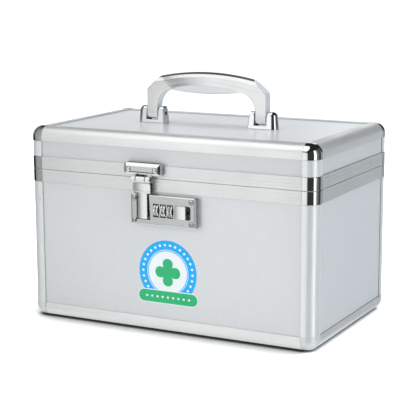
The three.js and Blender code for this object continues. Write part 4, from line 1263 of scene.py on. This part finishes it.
def make_camera():
    back = direction(camera_yaw, camera_pitch)
    level = Vector((cos(camera_yaw), sin(camera_yaw), 0))
    above = back.cross(level)
    right = cos(camera_roll) * level + sin(camera_roll) * above
    up = cos(camera_roll) * above - sin(camera_roll) * level
    data = settled(bpy.data.cameras.new("camera"), lens=camera_lens, sensor_width=sensor_width)
    camera = linked("camera", data)
    camera.matrix_world = Matrix.Translation(camera_place) @ Matrix((right, up, back)).transposed().to_4x4()
    bpy.context.scene.camera = camera


def stage_piece(name, mesh, finish):
    piece = shown(name, mesh, finish)
    return piece


def floor_material():
    """White wherever it is seen, but for the shadow close to the box, which is painted into its colour and
    its glow.
    """
    tree = Tree("floor_white")
    near = tree.add("AmbientOcclusion", samples=shade_samples, Distance=shade_reach)
    painted_side_light = tree.ranged(tree.parts(tree.places())["X"], *floor_side_painted_light)
    open_share = tree.math("ADD", near.outputs["AO"], painted_side_light)
    # The openness paints the shadow into the floor's colour here and into its glow below
    tone = tree.mixed(tree.ranged(open_share, *floor_shadow_tones), floor_painted_shadow, floor_light)
    tree.fill(tree.shader, Base_Color=tone, Roughness=floor_roughness,
              Specular_IOR_Level=floor_mirror_share)
    strength = tree.math("MULTIPLY", tree.seen_directly(), tree.ranged(open_share, *floor_glow))
    both = tree.add("AddShader")
    tree.feed(both.inputs[0], tree.shader.outputs["BSDF"])
    tree.feed(both.inputs[1], tree.add("Emission", Strength=strength).outputs["Emission"])
    tree.fill(tree.output, Surface=both.outputs["Shader"])


def make_floor():
    """A disc that bright metal doesn't mirror, so its lower edges stay light."""
    floor_material()
    mesh = bmesh.new()
    mesh.faces.new([mesh.verts.new((x, y, -floor_drop)) for x, y in circle(0, 0, floor_size, surround_steps)])
    stage_piece("floor", mesh, "floor_white").visible_glossy = False


def make_mirrored(name, mesh, glow):
    """Adds a sheet that glows in reflections alone, as the glow's values for its tree say."""
    tree = Tree(name)
    tree.owner.cycles.emission_sampling = "NONE"
    tree.fill(tree.output, Surface=tree.add("Emission", **glow(tree)).outputs["Emission"])
    piece = stage_piece(name, mesh, name)
    for ray in ("camera", "diffuse", "transmission", "volume_scatter", "shadow"):
        setattr(piece, "visible_" + ray, False)


def azimuth_ramp(tree, share, stops):
    """A colour that changes with the direction round the table, from -180 to 180 degrees."""
    ramp = tree.add("ValToRGB", Fac=share)
    elements = ramp.color_ramp.elements
    for i, (angle, colour) in enumerate(stops):
        place = (angle + 180) / 360
        element = elements[i] if i < len(elements) else elements.new(place)
        settled(element, position=place, color=(*colour, 1))
    return ramp.outputs["Color"]


def height_share(degrees):
    """A height in degrees, as a share of the way from straight down to straight up."""
    return (degrees + 90) / 180


def height_ramp(tree, share, stops):
    return azimuth_ramp(tree, share, [(angle, (height_share(height),) * 3) for angle, height in stops])


def surround_glow(tree):
    """What the bright metal mirrors: soft lights and dark gaps round the table."""
    place = tree.parts(tree.places())
    turn = tree.math("ARCTAN2", place["X"], tree.math("MULTIPLY", place["Y"], -1))
    share = tree.ranged(turn, 0, 1, -pi, pi)
    bright = azimuth_ramp(tree, share, [(angle, (level,) * 3) for angle, level in glow_levels])
    height = tree.math("ARCSINE", tree.math("DIVIDE", place["Z"], surround_radius))
    level_share = height_share(0)
    rise = tree.math("ADD", tree.math("MULTIPLY", height, 1 / pi), level_share)
    fade = glow_fade / pi
    above_top = tree.math("SUBTRACT", rise, height_ramp(tree, share, glow_tops))
    apart = tree.math("ABSOLUTE", tree.math("SUBTRACT", rise, level_share))
    mirrored = tree.math("ADD", apart, level_share)
    off_belt = tree.math("SUBTRACT", mirrored, height_ramp(tree, share, glow_belts))
    level = tree.math("MULTIPLY", bright, tree.ranged(above_top, 1, 0, -fade, fade))
    level = tree.math("MULTIPLY", level, tree.ranged(off_belt, 0, 1, -fade, fade))
    bounce = tree.ranged(rise, bounce_level, 0, *map(height_share, bounce_angles))
    level = tree.math("MAXIMUM", tree.math("ADD", level, glow_least), bounce)
    return {"Strength": level, "Color": azimuth_ramp(tree, share, glow_casts)}


def make_surround():
    rows = []
    for ring in range(surround_rings):
        rise = pi * ((ring + 1 / 2) / surround_rings - 1 / 2)
        outline = circle(0, 0, surround_radius * cos(rise), surround_steps)
        rows.append([(x, y, surround_radius * sin(rise)) for x, y in outline])
    make_mirrored("surround", skin(rows), surround_glow)


def make_softbox():
    """A flat white card that faces the box."""
    away = direction(softbox_azimuth, softbox_elevation)
    side = away.cross(Vector((0, 0, 1))).normalized() * (softbox_width / 2)
    above = side.cross(away).normalized() * (softbox_height / 2)
    mesh = bmesh.new()
    mesh.faces.new([
        mesh.verts.new(away * softbox_distance + side * u + above * v)
        for u, v in ((-1, -1), (1, -1), (1, 1), (-1, 1))
    ])
    make_mirrored("softbox", mesh, lambda tree: {"Strength": softbox_strength})


def make_world():
    """Pure white where it is seen, and a softer light for matt surfaces."""
    tree = Tree("studio", bpy.data.worlds, "Background", "World Output")
    bpy.context.scene.world = tree.owner
    tree.fill(tree.shader, Color=world_colour, Strength=world_strength)
    mix = tree.add("MixShader", Fac=tree.seen_directly())
    tree.feed(mix.inputs[1], tree.shader.outputs["Background"])
    tree.feed(mix.inputs[2], tree.add("Background", Color=white).outputs["Background"])
    tree.fill(tree.output, Surface=mix.outputs["Shader"])


def make_lamp(name, place, width, height, power, colour):
    data = bpy.data.lights.new(name, "AREA")
    settled(data, shape="RECTANGLE", size=width, size_y=height, energy=power, color=colour)
    turn = (lamp_target - Vector(place)).to_track_quat("-Z", "Y")
    lamp = settled(linked(name, data), location=place, rotation_mode="QUATERNION", visible_glossy=False)
    lamp.rotation_quaternion = turn


def make_studio():
    make_camera()
    make_floor()
    make_surround()
    make_softbox()
    make_world()
    for lamp in lamps:
        make_lamp(*lamp)


make_finishes()
dress_cad_nodes()
make_corners()
make_lock_rim()
make_lock_rivets()
for wheel_index, wheel_place in enumerate(wheel_places, 1):
    make_wheel(wheel_index, wheel_place)
make_slider()
make_spring()
make_hasp_plate()
make_hasp()
make_handle()
make_bracket(-1, "handle_bracket_left")
make_bracket(1, "handle_bracket_right")
make_badge()
make_studio()
bpy.context.scene.view_settings.view_transform = "Standard"
